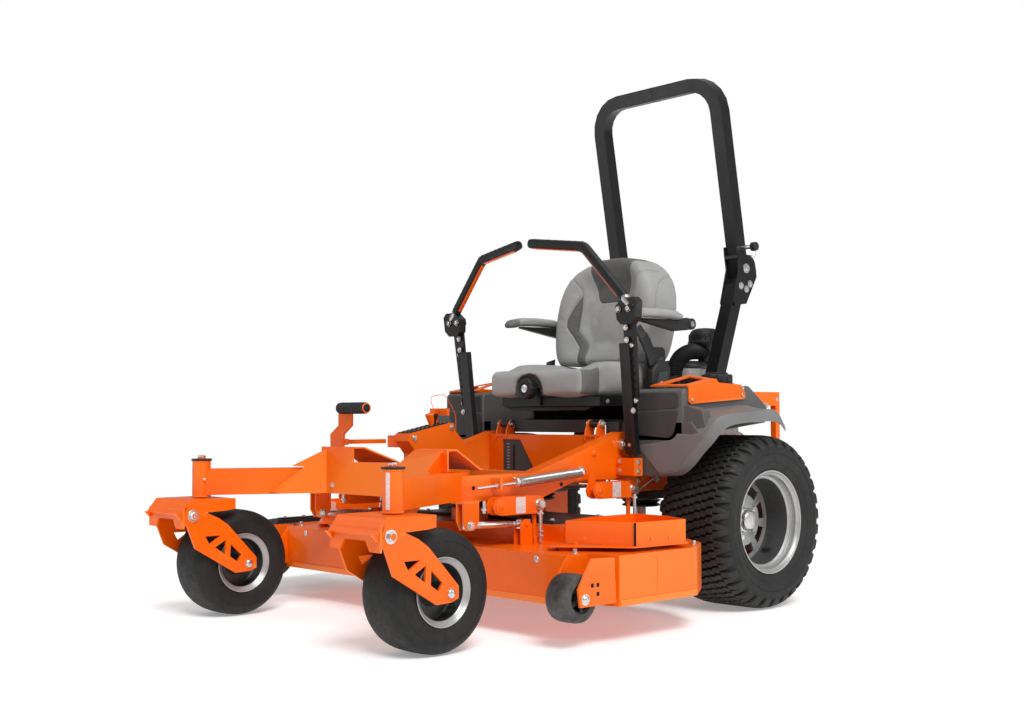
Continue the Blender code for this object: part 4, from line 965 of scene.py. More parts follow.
WING_SEAM = [(-0.07, 1.0), (-0.066, 1.05), (-0.04, 1.092), (0.005, 1.118), (0.045, 1.122), (0.075, 1.112)]


def back_lean(z):
    return 0.16 * (z - 0.8)


def make_seat_back():
    """The front is dished between two side bolsters, and the rim rolls over into flat sides and a domed
    rear."""
    rim = [(h, z) for z, h in BACK_HALF] + [(-h, z) for z, h in reversed(BACK_HALF[:-1])]
    bottom = [(x, 0.8065) for x in (-0.15, -0.1, -0.05, 0.0, 0.05, 0.1, 0.15)]
    outline = rim + bottom
    # evenly spaced points round the outline
    around = []
    for a, b in zip(outline, outline[1:] + outline[:1]):
        length = math.hypot(b[0] - a[0], b[1] - a[1])
        for k in range(max(1, round(length / 0.012))):
            t = k / max(1, round(length / 0.012))
            around.append((a[0] + (b[0] - a[0]) * t, a[1] + (b[1] - a[1]) * t))
    middle = (0.0, 0.985)
    count = len(around)

    def front(x, z, edge):
        bolster = smooth(abs(x), 0.07, 0.175)
        depth = 0.07 * (1 - bolster) * (1 - 0.62 * smooth(z, 1.08,
                                                          1.19)) * (0.55 + 0.45 * smooth(z, 0.8, 0.9))
        roll = 0.034 * (1 - math.sqrt(max(0.0, 1 - (max(0.0, edge - 0.8) / 0.2) ** 2)))
        return -0.116 + depth + roll + back_lean(z)

    def rear(x, z, edge):
        dome = 0.03 * (1 - edge ** 2)
        roll = 0.022 * (1 - math.sqrt(max(0.0, 1 - (max(0.0, edge - 0.85) / 0.15) ** 2)))
        return 0.058 + dome - roll + back_lean(z)

    rings = (0.14, 0.28, 0.42, 0.55, 0.66, 0.75, 0.82, 0.88, 0.93, 0.97, 0.99, 1.0)
    points, faces = [], []
    for surface in (front, rear):
        base = len(points)
        points.append((middle[0], surface(*middle, 0.0), middle[1]))
        for edge in rings:
            for x, z in around:
                px, pz = middle[0] + (x - middle[0]) * edge, middle[1] + (z - middle[1]) * edge
                points.append((px, surface(px, pz, edge), pz))
        for k in range(count):
            faces.append([base, base + 1 + k, base + 1 + (k + 1) % count])
        for ring in range(len(rings) - 1):
            a, b = base + 1 + ring * count, base + 1 + (ring + 1) * count
            for k in range(count):
                n = (k + 1) % count
                faces.append([a + k, b + k, b + n, a + n])
    first = 1 + (len(rings) - 1) * count
    second = first + 1 + len(rings) * count
    for k in range(count):
        n = (k + 1) % count
        faces.append([first + k, second + k, second + n, first + n])
    shell = solid_object("seat_back_cover", points, faces)

    def seam_of(p):
        local = (abs(p.x), p.z)
        y = p.y - back_lean(p.z)
        found = 9.0
        if y < 0.0:
            found = min(found, to_line(local, BOLSTER_SEAM), to_line(local, CENTRE_SEAM))
            if p.z > 1.02:
                found = min(found, abs(inside((p.x, p.z), HEAD_PANEL)))
        side = abs(p.x) > 0.15 or p.z > 1.1
        if side and p.z > 0.97:
            found = min(found, to_line((y, p.z), WING_SEAM) + max(0.0, 0.17 - abs(p.x)))
        found = min(found, abs(y - 0.052) + (0 if max(abs(p.x) / 0.2285,
                                                      abs(p.z - 0.985) / 0.215) > 0.6 else 9.0))
        return found

    def tone_of(p):
        if p.y - back_lean(p.z) > 0.01:
            return -0.05 if p.y - back_lean(p.z) < 0.052 else (p.y - back_lean(p.z) - 0.052)
        return max(inside((abs(p.x), p.z), CHEVRON), inside((p.x, p.z), HEAD_PANEL))

    upholster(shell, seam_of, tone_of, 0.0055, 3.2, 0.01, "seat_backrest", "seat_back", BACK_VINYL)


def make_cushion():
    """A box cushion with a plain front, an arched recess for the knob, and bolsters raised behind the
    front."""
    stations = [-0.2195, -0.217, -0.21, -0.2, -0.185, -0.165, -0.145, -0.12, -0.09, -0.05, 0.0, 0.05, 0.09,
                0.12, 0.145, 0.165, 0.185, 0.2, 0.21, 0.217, 0.2195]
    ys = (-0.417, -0.412, -0.4, -0.38, -0.35, -0.32, -0.29, -0.25, -0.2, -0.15, -0.1, -0.05, 0.0, 0.014,
          0.02)
    points, faces = [], []
    for x in stations:
        edge = max(0.0, (abs(x) - 0.2) / 0.0195)
        tuck = 0.016 * (1 - math.sqrt(max(0.0, 1 - edge * edge)))
        bolster = smooth(abs(x), 0.095, 0.165)
        profile = []
        for y in ys:
            front_roll = 0.02 * (1 - math.sqrt(max(0.0, 1 - (max(0.0, -y - 0.397) / 0.02) ** 2)))
            rise = 0.026 * bolster * smooth(y, -0.355, -0.275) * (1 - 0.35 * smooth(y, -0.12, 0.0))
            dish = 0.01 * (1 - bolster) * smooth(y, -0.36, -0.25)
            profile.append((min(max(y, -0.417 + tuck), 0.02 - tuck),
                            0.781 - front_roll + rise - dish - tuck))
        profile += [(0.02 - tuck, 0.7), (0.014 - tuck, 0.6925 + tuck), (-0.2, 0.6925 + tuck),
                    (-0.408 + tuck, 0.6925 + tuck), (-0.417 + tuck, 0.7)]
        loop = len(profile)
        points += [(x, y, z) for y, z in profile]
    for i in range(len(stations) - 1):
        for k in range(loop):
            a, n = i * loop, (i + 1) * loop
            faces.append([a + k, a + (k + 1) % loop, n + (k + 1) % loop, n + k])
    faces += [list(range(loop))[::-1], list(range(len(points) - loop, len(points)))]
    cushion = solid_object("seat_cushion_cover", points, faces)
    arch = [(-0.092, 0.6), (0.04, 0.6), (0.04, 0.715), (0.03, 0.742), (0.008, 0.76), (-0.026, 0.767),
            (-0.06, 0.76), (-0.083, 0.742), (-0.092, 0.715)]
    cutter = solid_object("arch", *front_plate(arch, -0.5, -0.375, 0))
    settle(cushion, "TRIANGULATE")
    settle(cushion, "BOOLEAN", operation="DIFFERENCE", solver="EXACT", object=cutter)
    bpy.data.objects.remove(cutter)

    def seam_of(p):
        found = 9.0
        if p.z > 0.735 and abs(p.x) < 0.2:
            across = abs(abs(p.x) - 0.118 - 0.01 * smooth(p.y, -0.3, -0.4))
            if p.y > -0.385:
                found = min(found, across)
            if abs(p.x) < 0.128:
                found = min(found, abs(p.y + 0.352), abs(p.y + 0.18))
            found = min(found, abs(p.y + 0.385) if p.z > 0.76 else 9.0)
        if abs(p.x) > 0.205:
            found = min(found, abs(p.y + 0.405) if p.z < 0.783 else 9.0,
                        abs(p.y + 0.322) if p.z < 0.79 else 9.0)
        return found

    def tone_of(p):
        strip = min(p.y + 0.405, -0.322 - p.y, abs(p.x) - 0.209, 0.786 - p.z)
        recess = min(p.y + 0.411, inside((p.x, p.z), arch) + 0.004)
        return max(strip, recess)

    upholster(cushion, seam_of, tone_of, 0.0055, 3.0, 0.009, "seat_base", "seat_cushion", SEAT_VINYL)


def make_armrests():
    for name, side in SIDES:
        path = smooth_path([(0, -0.262, 0.952), (0, -0.235, 0.962), (0, -0.19, 0.969), (0, -0.12, 0.972),
                            (0, -0.05, 0.971), (0, 0.01, 0.966)], 4)
        scale = [0.55 + 0.45 * smooth(i, 0, 4) - 0.35 * smooth(i, len(path) - 4,
                                                               len(path) - 1) for i in range(len(path))]
        points, faces = sweep(path, box_section(0.056, 0.03, 0.0125, 4), scale=scale, up=(0, 0, 1))
        pad = solid_object("armrest_pad_cover_" + name, [(p.x + 0.294 * side, p.y, p.z) for p in points],
                           faces)

        def seam_of(p):
            return min(abs(p.z - 0.9545) if p.y > -0.215 else 9.0, abs(p.y + 0.215))

        def tone_of(p):
            return -0.222 - p.y

        upholster(pad, seam_of, tone_of, 0.004, 2.5, 0.005, "armrest_" + name + "_body", "armrest_" + name,
                  SEAT_VINYL, pinch=0.0012)
        holder = Piece("armrest_bracket_" + name)
        holder.add(side_plate([(-0.205, 0.9525), (-0.205, 0.946), (-0.01, 0.9165), (0.05, 0.922),
                               (0.078, 0.928), (0.09, 0.94), (0.09, 0.952), (0.078, 0.963), (0.05, 0.966),
                               (0.0, 0.956)], 0.268, 0.296, 0.004), BLACK_PLASTIC, side)
        holder.turn([(0, 0), (0.0195, 0), (0.02, 0.002), (0.02, 0.037), (0.018, 0.0395), (0.011, 0.04),
                     (0.01, 0.037), (0, 0.037)], 28, (0.2595, 0.075, 0.945), (1, 0, 0), BLACK_PLASTIC, side)
        holder.bolt((0.2965, 0.075, 0.945), (1, 0, 0), 0.0075, 0.004, side=side)
        holder.make("armrest_" + name + "_body", bevel=0.0015)


make_seat_back()
make_cushion()
make_armrests()


# ---------------------------------------------------------------- steering levers

def filleted(knots, radius, steps=8):
    """A polyline whose corners are rounded."""
    knots = [Vector(k) for k in knots]
    out = [knots[0]]
    for before, here, after in zip(knots, knots[1:], knots[2:]):
        a, b = (before - here).normalized(), (after - here).normalized()
        half = a.angle(b) / 2
        reach = min(radius / math.tan(half), (before - here).length * 0.48, (after - here).length * 0.48)
        first, last = here + a * reach, here + b * reach
        for k in range(steps + 1):
            t = k / steps
            out.append(first * (1 - t) ** 2 + here * 2 * t * (1 - t) + last * t * t)
    return out + [knots[-1]]


def evenly(path, gap):
    """Points along a path at about the same spacing."""
    out = [path[0]]
    for a, b in zip(path, path[1:]):
        n = max(1, round((b - a).length / gap))
        out += [a + (b - a) * (k / n) for k in range(1, n + 1)]
    return out


def strap_y(z):
    """Y of the slotted strap's middle, which leans forwards as it rises."""
    return -0.345 - 0.0365 * (z - 0.5) / 0.357


def make_levers():
    for name, side in SIDES:
        body = "lap_lever_" + name + "_body"
        bar = filleted([(0.446, -0.404, 0.96), (0.247, -0.424, 1.178), (0.027, -0.456, 1.206)], 0.034)
        start = bar[0] + (bar[1] - bar[0]).normalized() * 0.052
        sleeve_path = evenly([start, *bar[1:]], 0.006)
        count = len(sleeve_path)
        ribbed = []
        for k in range(28):
            a = TURN * k / 28
            r = 0.0168 - (0.0009 if math.cos(a * 2) > 0.55 and math.sin(a) > -0.2 else 0.0)
            ribbed.append((r * math.cos(a), r * math.sin(a)))
        ends = [min(1.0, 0.9 + 0.1 * min(i, count - 1 - i) / 2) for i in range(count)]
        grip = Piece("lever_grip_" + name)
        grip.add(sweep(sleeve_path, ribbed, scale=ends, up=(0, 0, 1)), SOFT_RUBBER, side)
        insert = [(a, b - 0.015) for a, b in box_section(0.015, 0.0062, 0.0022, 3)]
        grip.add(sweep(sleeve_path[4:-4], insert, up=(0, 0, 1)), ORANGE, side)
        for k in range(14):
            at = sleeve_path[int(count * (0.12 + 0.055 * k))]
            ahead = sleeve_path[int(count * (0.12 + 0.055 * k)) + 1]
            grip.add(placed(lathe([(0.016, -0.0012), (0.0174, -0.0004), (0.0174, 0.0004), (0.016, 0.0012)],
                                  28, True), at, ahead - at), SOFT_RUBBER, side)
        grip.make(body, angle=50)

        lever = Piece("lever_fittings_" + name)
        lever.add(sweep([bar[0] + (bar[1] - bar[0]).normalized() * d for d in (0.016, 0.02, 0.052, 0.058)],
                        ring_section(0.0154, 24), scale=[0.97, 1, 1, 1]), STEEL, side)
        lever.add(placed(lathe([(0.0155, 0), (0.02, 0.001), (0.0205, 0.004), (0.0205, 0.013),
                                (0.019, 0.016), (0.0155, 0.017)], 28, True),
                         bar[0] + (bar[1] - bar[0]).normalized() * 0.004, bar[1] - bar[0]), BLACK, side)
        for x in (0.392, 0.4335):
            lever.turn([(0, 0), (0.0105, 0), (0.0105, 0.0022), (0.0098, 0.0028), (0.0, 0.0028)], 24,
                       (x, -0.42, 0.9625), (0, -1, 0), ZINC, side)
            lever.add(placed(lathe([(0, 0), (0.0084, 0), (0.0084, 0.003), (0.0068, 0.0048),
                                    (0.0046, 0.0052), (0.004, 0.003), (0, 0.003)], 6), (x, -0.4228, 0.9625),
                             (0, -1, 0), 0.4), ZINC, side)
        # the strap's slots, drawn as near-black plates of painted shade, and its clamping bolts
        for k in range(6):
            z = 0.7 + 0.027 * k
            y = strap_y(z)
            lever.add(side_plate([(y - 0.0065, z - 0.008), (y + 0.0065, z - 0.008), (y + 0.0085, z),
                                  (y + 0.0065, z + 0.008), (y - 0.0065, z + 0.008), (y - 0.0085, z)],
                                 0.4096, 0.4122, 0.0006), HOLE_SHADE, side)
        for z in (0.64, 0.865, 0.905):
            y = strap_y(z)
            lever.bolt((0.4105 if z < 0.8 else 0.404, y - 0.0125, z), (0, -1, 0), 0.0062, 0.005, side=side)
        lever.add(side_plate([(-0.366, 0.665), (-0.344, 0.665), (-0.352, 0.855), (-0.374, 0.855)], 0.4108,
                             0.4165, 0.0012), BLACK, side)
        # painted shade: near-black discs stand for the shade in the holes of the plate over the strap
        for k in range(7):
            z = 0.685 + 0.024 * k
            y = strap_y(z) + 0.0055
            lever.pin(0.0052, 0.0009, 16, (0.4163, y - 0.01, z), (1, 0, 0), HOLE_SHADE, side)
        for z in (0.672, 0.848):
            lever.bolt((0.4166, strap_y(z) - 0.004, z), (1, 0, 0), 0.006, 0.0048, "nut", side=side)
        lever.make(body, angle=32)

        hub = Piece("lever_hub_bolts_" + name)
        hub.bolt((0.3506, -0.345, 0.53), (1, 0, 0), 0.0095, 0.007, side=side)
        hub.make("control_hub_" + name + "_body", angle=32)


make_levers()


# ---------------------------------------------------------------- seat fittings

def make_seat_fittings():
    knob = Piece("seat_knob_moulded")
    centre = Vector((-0.028, -0.3766, 0.717))
    rim = []
    for k in range(72):
        a = TURN * k / 72
        rim.append((0.0352 + 0.0012 * math.cos(12 * a), a))
    points = []
    levels = ((0.86, -0.025), (0.97, -0.0262), (1.0, -0.029), (1.0, -0.049), (0.97, -0.0535),
              (0.9, -0.0556), (0.7, -0.0566), (0.56, -0.056), (0.52, -0.053))
    for grow, y in levels:
        points += [centre + Vector((r * grow * math.cos(a), y, r * grow * math.sin(a))) for r, a in rim]
    knob.add((points, bands(len(levels), len(rim)) + lids(len(levels), len(rim))), BLACK_PLASTIC)
    knob.pin(0.0085, 0.024, 24, centre + Vector((0, -0.001, 0)), (0, -1, 0), STEEL)
    knob.turn([(0, 0), (0.0135, 0), (0.014, 0.0012), (0.0132, 0.0034), (0.007, 0.0042), (0.006, 0.0022),
               (0.0, 0.0018)], 32, centre + Vector((0, -0.0528, 0)), (0, -1, 0), ZINC)
    knob.make("adjuster", angle=40, replaces=("seat_knob",))

    # rubber boot of the suspension, stretched between the platform and the moving top
    folds = 4
    levels = []
    for k in range(folds * 2 + 1):
        z = 0.6114 + (0.6425 - 0.6114) * k / (folds * 2)
        levels.append((z, 0.0 if k % 2 else 0.01))
    points = []
    for z, inset in levels:
        ring = box_section(0.312 - 2 * inset, 0.332 - 2 * inset, 0.028 - inset, 6)
        points += [(x, y - 0.12, z) for x, y in ring]
    boot = Piece("seat_boot")
    boot.add((points, bands(len(levels), len(ring))), SOFT_RUBBER)
    made = boot.make("platform", angle=20, ride=False, replaces=("seat_bellows",))
    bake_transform(made)

    base = Piece("seat_base_fittings")
    for side in (1, -1):
        for y in (-0.3, -0.18, -0.04):
            base.bolt((0.2352 * side, y, 0.672), (side, 0, 0), 0.0055, 0.0045)
    base.add(block((-0.236, -0.3705, 0.6885), (0.236, -0.3665, 0.6895)), BLACK)
    # belt retractor housing with its latch, on the driver's left
    base.add(side_plate([(-0.128, 0.676), (-0.116, 0.664), (-0.05, 0.664), (-0.034, 0.68), (-0.03, 0.79),
                         (-0.046, 0.812), (-0.098, 0.806), (-0.124, 0.78)], 0.247, 0.287, 0.006),
             BLACK_PLASTIC)
    base.add(side_plate([(-0.119, 0.69), (-0.06, 0.69), (-0.048, 0.776), (-0.094, 0.772)], 0.2865, 0.29,
                        0.0018), CHARCOAL_DARK)
    base.bolt((0.29, -0.086, 0.732), (1, 0, 0), 0.0065, 0.004)
    base.add(sweep([(0.267, -0.1, 0.8), (0.264, -0.112, 0.835), (0.261, -0.13, 0.872),
                    (0.258, -0.148, 0.896)], box_section(0.007, 0.046, 0.002, 2), up=(0, 1, 0.6)),
             BLACK_PLASTIC)
    base.add(sweep([(0.258, -0.146, 0.893), (0.2565, -0.156, 0.908), (0.255, -0.168, 0.922)],
                   box_section(0.012, 0.034, 0.003, 2), up=(0, 1, 0.6)), CHARCOAL_DARK)
    # lap belt: from the retractor forwards over the cushion's edge
    base.add(sweep(smooth_path([(0.264, -0.07, 0.806), (0.256, -0.066, 0.826), (0.24, -0.06, 0.838),
                                (0.222, -0.05, 0.835), (0.195, -0.03, 0.824), (0.16, -0.01, 0.812)], 6),
                   box_section(0.046, 0.0022, 0.0008, 1), up=(0.3, 0, 1)), BELT)
    base.add(sweep(smooth_path([(-0.25, -0.06, 0.69), (-0.252, -0.066, 0.74), (-0.25, -0.08, 0.79),
                                (-0.236, -0.092, 0.828)], 6), box_section(0.046, 0.0022, 0.0008, 1),
                   up=(-1, 0, 0.2)), BELT)
    base.add(side_plate([(-0.092, 0.67), (-0.034, 0.67), (-0.04, 0.705), (-0.08, 0.705)], -0.256, -0.244,
                        0.003), BLACK_PLASTIC)
    base.make("seat_base", angle=35)

    rear = Piece("seat_back_fittings")
    rear.turn([(0, 0), (0.0165, 0), (0.0165, 0.003), (0.015, 0.005), (0, 0.005)], 28, (0.218, 0.075, 0.945),
              (1, 0, 0), BLACK_PLASTIC)
    rear.make("seat_backrest", angle=35)


make_seat_fittings()


# ---------------------------------------------------------------- roll bar

ROPS_LEAN = math.atan(0.18)
ROPS_PIN_Y, ROPS_PIN_Z = 0.349, 1.236


def make_roll_bar():
    frame_bolts = Piece("roll_bar_fasteners")
    inner, outer = 0.2597, 0.3105
    for side in (1, -1):
        for y, z, size in ((0.366, 1.162, 0.0115), (0.334, 1.096, 0.0085), (0.366, 1.086, 0.0085),
                           (0.388, 1.106, 0.0085)):
            frame_bolts.bolt((outer + 0.0063, y, z), (1, 0, 0), size, size * 0.62, side=side)
            frame_bolts.bolt((inner - 0.0063, y, z), (-1, 0, 0), size, size * 0.62, "nut", side=side)
        for z in (0.52, 0.585, 0.64):
            y = 0.2846 + 0.3717 * (z - 0.95) - 0.0272
            frame_bolts.bolt((0.2851, y, z), (0, -1, -0.35), 0.0075, 0.006, side=side)
        # foot brackets that box in the bottom of each leg
        frame_bolts.add(side_plate([(0.075, 0.47), (0.16, 0.47), (0.205, 0.64), (0.15, 0.64)], 0.3112,
                                   0.3165, 0.0012), BLACK, side)
    frame_bolts.make("chassis", angle=32)

    for name, side in SIDES:
        pin = Piece("roll_bar_pin_" + name)
        y, z = ROPS_PIN_Y, ROPS_PIN_Z
        pin.turn([(0, 0), (0.007, 0), (0.0076, 0.002), (0.0076, 0.117), (0, 0.117)], 24, (0.2395, y, z),
                 (1, 0, 0), ZINC, side)
        pin.turn([(0, 0), (0.013, 0), (0.0162, 0.002), (0.0165, 0.006), (0.0165, 0.016), (0.015, 0.021),
                  (0.01, 0.024), (0, 0.0242)], 32, (0.355, y, z), (1, 0, 0), BLACK_PLASTIC, side)
        ring = [Vector((0.36, y + 0.017 * math.sin(TURN * k / 24),
                        z - 0.024 + 0.017 * math.cos(TURN * k / 24))) for k in range(24)]
        pin.add(sweep(ring, ring_section(0.0013, 8), closed=True, up=(1, 0, 0)), ZINC, side)
        pin.make("rops_pin_" + name + "_body", angle=35, replaces=("rops_pin_" + name,))

    hoop = Piece("roll_bar_weld")
    # weld bead where the tube is joined across the top
    up, back = math.cos(ROPS_LEAN), math.sin(ROPS_LEAN)
    top = Vector((0, 0.3505 - back * 0.6305, 1.22 + up * 0.6305))
    ring = [Vector((0.0, a * up - b * back, a * back + b * up)) + top
            for a, b in box_section(0.0516, 0.0516, 0.003, 3)]
    hoop.add(sweep(ring, ring_section(0.001, 6), closed=True, up=(1, 0, 0)), BLACK)
    hoop.make("roll_bar", angle=35)


make_roll_bar()


# ---------------------------------------------------------------- front: casters, springs, links

def prism_up(outline, z0, z1, bevel=0.0012):
    """A plate in the XY plane, between two Z."""
    points, faces = prism(outline, z1 - z0, bevel)
    return [Vector((p.x, p.y, z0 + p.z)) for p in points], faces


def make_front():
    front = Piece("front_frame_fittings")
    for side in (1, -1):
        # counter spring's threaded rod, nuts and hooked ends
        front.turn([(0, 0), (0.0038, 0), (0.0042, 0.001), (0.0042, 0.064), (0.0038, 0.065), (0, 0.065)], 16,
                   (0.359, -0.997, 0.4145), (0, 1, 0.07), ZINC, side)
        for k in range(22):
            y = -0.995 + 0.0027 * k
            front.turn([(0.004, -0.0008), (0.0047, 0.0), (0.004, 0.0008)], 12,
                       (0.359, y, 0.4145 + (y + 0.997) * 0.07), (0, 1, 0.07), ZINC, side)
        for y in (-0.922, -0.902):
            front.add(placed(hexagon(0.0082, 0.0058), (0.359, y, 0.4195), (0, 1, 0.07)), ZINC, side)
        hook = filleted([(0.36, -0.902, 0.421), (0.36, -0.868, 0.423), (0.36, -0.846, 0.4235),
                         (0.36, -0.836, 0.433), (0.36, -0.846, 0.441), (0.36, -0.852, 0.439)], 0.008, 5)
        front.add(sweep(hook, ring_section(0.0026, 10)), ZINC, side)
        hook = filleted([(0.36, -0.568, 0.447), (0.36, -0.548, 0.4495), (0.357, -0.532, 0.4515),
                         (0.345, -0.53, 0.452)], 0.008, 5)
        front.add(sweep(hook, ring_section(0.0026, 10)), ZINC, side)
        front.bolt((0.3305, -0.53, 0.452), (1, 0, 0), 0.0085, 0.006, side=side)
        # link pivots on the rail: a wide washer under a bolt head
        for y, z in ((-0.924, 0.36), (-0.501, 0.389)):
            front.turn([(0, 0), (0.019, 0), (0.0195, 0.0012), (0.0185, 0.0028), (0.0095, 0.0034),
                        (0, 0.0034)], 32, (0.3812, y, z), (1, 0, 0), ORANGE, side)
            front.bolt((0.3843, y, z), (1, 0, 0), 0.008, 0.004, "dome", ORANGE, side=side, washer=False)
        # fasteners of the lever box
        for z in (0.446, 0.476):
            front.bolt((0.345, -0.3663, z), (0, -1, 0), 0.0058, 0.0048, side=side)
        for z in (0.447, 0.475):
            front.bolt((0.4083, -0.346, z), (1, 0, 0), 0.0056, 0.0045, side=side)
        front.bolt((0.3305, -0.47, 0.505), (1, 0, 0), 0.0075, 0.005, "dome", ORANGE, side=side)
        # hinge ears of the seat platform
        for x, way in ((0.2443, 1), (0.1877, -1)):
            front.bolt((x, -0.338, 0.597), (way, 0, 0), 0.009, 0.007, "nut" if way > 0 else "hex",
                       side=side)
        # strut clevis at the front of the rail
        front.bolt((0.3773, -1.037, 0.311), (1, 0, 0), 0.0088, 0.0062, side=side)
        front.bolt((0.3447, -1.037, 0.311), (-1, 0, 0), 0.0088, 0.0062, "nut", side=side)
        # pivot tube: grease nipple and weld collars
        for z in (0.3745, 0.484):
            front.add(placed(lathe([(0.0282, 0), (0.0298, 0.001), (0.0298, 0.0035), (0.0282, 0.0045)], 40,
                                   True), (CASTER_X, FORK_PIVOT_Y, z - 0.002), (0, 0, 1)), ORANGE, side)
        front.turn([(0, 0), (0.004, 0), (0.004, 0.003), (0.0022, 0.004), (0.0026, 0.0075), (0, 0.0085)], 12,
                   (CASTER_X - 0.0275, FORK_PIVOT_Y - 0.006, 0.428), (-1, -0.2, 0), ZINC, side)
        for y in (-0.255, -0.165):
            front.bolt((0.3305, y, 0.412), (1, 0, 0), 0.0072, 0.0055, side=side)
        # painted shade: near-black discs stand for the shade in the rail's holes
        for y, z in ((-0.985, 0.4145), (-0.62, 0.412), (-0.4, 0.412)):
            front.pin(0.0062, 0.001, 20, (0.33, y, z), (1, 0, 0), HOLE_SHADE, side)
        # drive pump and its pulley under the rail, with the control rod
        front.add(prism_up([(0.205, -0.235), (0.3, -0.235), (0.312, -0.215), (0.312, -0.06), (0.29, -0.04),
                            (0.205, -0.04)], 0.345, 0.374, 0.004), BLACK, side)
        front.turn([(0, 0), (0.052, 0), (0.064, 0.003), (0.066, 0.006), (0.054, 0.013), (0.066, 0.02),
                    (0.064, 0.023), (0.03, 0.024), (0, 0.024)], 40, (0.25, -0.15, 0.318), (0, 0, 1), BLACK,
                   side)
        front.pin(0.016, 0.034, 24, (0.25, -0.15, 0.288), (0, 0, 1), STEEL, side)
        rod = [(0.352, -0.33, 0.368), (0.352, -0.3, 0.372), (0.352, -0.18, 0.424), (0.352, -0.15, 0.428)]
        front.add(sweep(filleted(rod, 0.012), ring_section(0.0034, 12)), ZINC, side)
        front.add(placed(hexagon(0.0072, 0.016), (0.352, -0.3, 0.372), (0, 0.92, 0.4)), ZINC, side)
        front.bolt((0.352, -0.33, 0.35), (0, 0, -1), 0.0075, 0.006, side=side)
        front.pin(0.0048, 0.06, 16, (0.352, -0.33, 0.346), (0, 0, 1), ZINC, side)
        # short hanging stops and their nuts, ahead of and behind the front link
        for y in (-0.955, -0.8):
            front.pin(0.0052, 0.036, 16, (0.345, y, 0.3405), (0, 0, 1), ZINC, side)
            front.add(placed(hexagon(0.0085, 0.0065), (0.345, y, 0.348), (0, 0, 1)), ZINC, side)
    front.make("chassis", angle=32)

    for name, side in SIDES:
        spring = Piece("counter_spring_coil_" + name)
        spring.add(coil((0.36, -0.838, 0.4258), (0.36, -0.565, 0.4468), 0.0128, 0.002, 43, 18, 8), STEEL,
                   side)
        spring.turn([(0, 0), (0.014, 0), (0.015, 0.0015), (0.015, 0.0055), (0.0132, 0.0075), (0, 0.0075)],
                    28, (0.36, -0.8435, 0.4254), (0, 1, 0.077), ZINC, side)
        spring.turn([(0, 0), (0.014, 0), (0.015, 0.0015), (0.015, 0.0055), (0.0132, 0.0075), (0, 0.0075)],
                    28, (0.36, -0.5675, 0.4466), (0, 1, 0.077), ZINC, side)
        spring.pin(0.0044, 0.167, 16, (0.36, -0.997, 0.414), (0, 1, 0.07), ZINC, side)
        spring.make("chassis", angle=40, replaces=("counter_spring_" + name,))

        fork = Piece("caster_fork_fittings_" + name)
        for way in (1, -1):
            x = CASTER_X + way * 0.1002
            fork.turn([(0, 0), (0.0165, 0), (0.0168, 0.001), (0.016, 0.0024), (0, 0.0026)], 32,
                      (x, CASTER_Y, CASTER_RADIUS), (way, 0, 0), ORANGE, side)
            fork.turn([(0.013, 0), (0.0128, 0.003), (0.0115, 0.0056), (0.0085, 0.0076), (0.0045, 0.0088),
                       (0, 0.0092)], 32, (x + way * 0.0024, CASTER_Y, CASTER_RADIUS), (way, 0, 0), ZINC,
                      side)
            fork.bolt((x, -1.487, 0.323), (way, 0, 0), 0.012, 0.0085,
                      "hex" if way > 0 else "nut", side=side)
        fork.turn([(0, 0), (0.0315, 0), (0.0322, 0.001), (0.0322, 0.0046), (0.0305, 0.0062),
                   (0.015, 0.0066), (0.0, 0.0066)], 40, (CASTER_X, FORK_PIVOT_Y, 0.4862), (0, 0, 1), BLACK,
                  side)
        fork.add(placed(hexagon(0.013, 0.0098), (CASTER_X, FORK_PIVOT_Y, 0.4928), (0, 0, 1), 0.2), ZINC,
                 side)
        fork.make("caster_fork_" + name + "_body", angle=32)

        strip = Piece("pivot_tube_reflector_" + name)
        arc = []
        for k in range(7):
            a = math.radians(-78) + math.radians(4.0 * k)
            arc.append((CASTER_X + 0.0292 * math.cos(a), FORK_PIVOT_Y + 0.0292 * math.sin(a)))
        outer = [Vector((x, y, 0.382)) for x, y in arc]
        outer += [Vector((x, y, 0.478)) for x, y in reversed(arc)]
        n = len(arc)
        strip.add((outer, [[k, k + 1, 2 * n - 2 - k, 2 * n - 1 - k] for k in range(n - 1)]), REFLECTOR,
                  side)
        strip.make("chassis", angle=60)

        for end, y0, z0, length in (("front", -0.924, 0.36, 0.157), ("rear", -0.501, 0.389, 0.159)):
            link = Piece("lift_link_fittings_" + end + "_" + name)
            link.add(block((0.3809, y0 + 0.061, z0 - 0.0235), (0.382, y0 + 0.1, z0 + 0.0245), 0.0004),
                     REFLECTOR, side)
            link.bolt((0.3812, y0 + length, z0), (1, 0, 0), 0.0105, 0.008, side=side)
            link.bolt((0.3447, y0 + length, z0), (-1, 0, 0), 0.0085, 0.0045, side=side)
            link.make("lift_link_" + end + "_" + name + "_body", angle=32)

        strut = Piece("deck_strut_tube_" + name)
        start, end = Vector((0.361, -1.018, 0.3106)), Vector((0.361, -0.826, 0.3034))
        strut.turn([(0, 0), (0.0094, 0), (0.01, 0.001), (0.01, 0.15), (0.0092, 0.153), (0.0062, 0.155),
                    (0.0062, 0.19), (0, 0.19)], 24, start, end - start, ZINC, side)
        for k in range(2):
            strut.add(placed(hexagon(0.0098, 0.006), start + (end - start) * (0.83 + 0.07 * k),
                             end - start), ZINC, side)
        strut.make("deck_strut_" + name + "_body", angle=35)


make_front()


# ---------------------------------------------------------------- deck

ROLLER_Y, ROLLER_Z = -0.985, 0.137


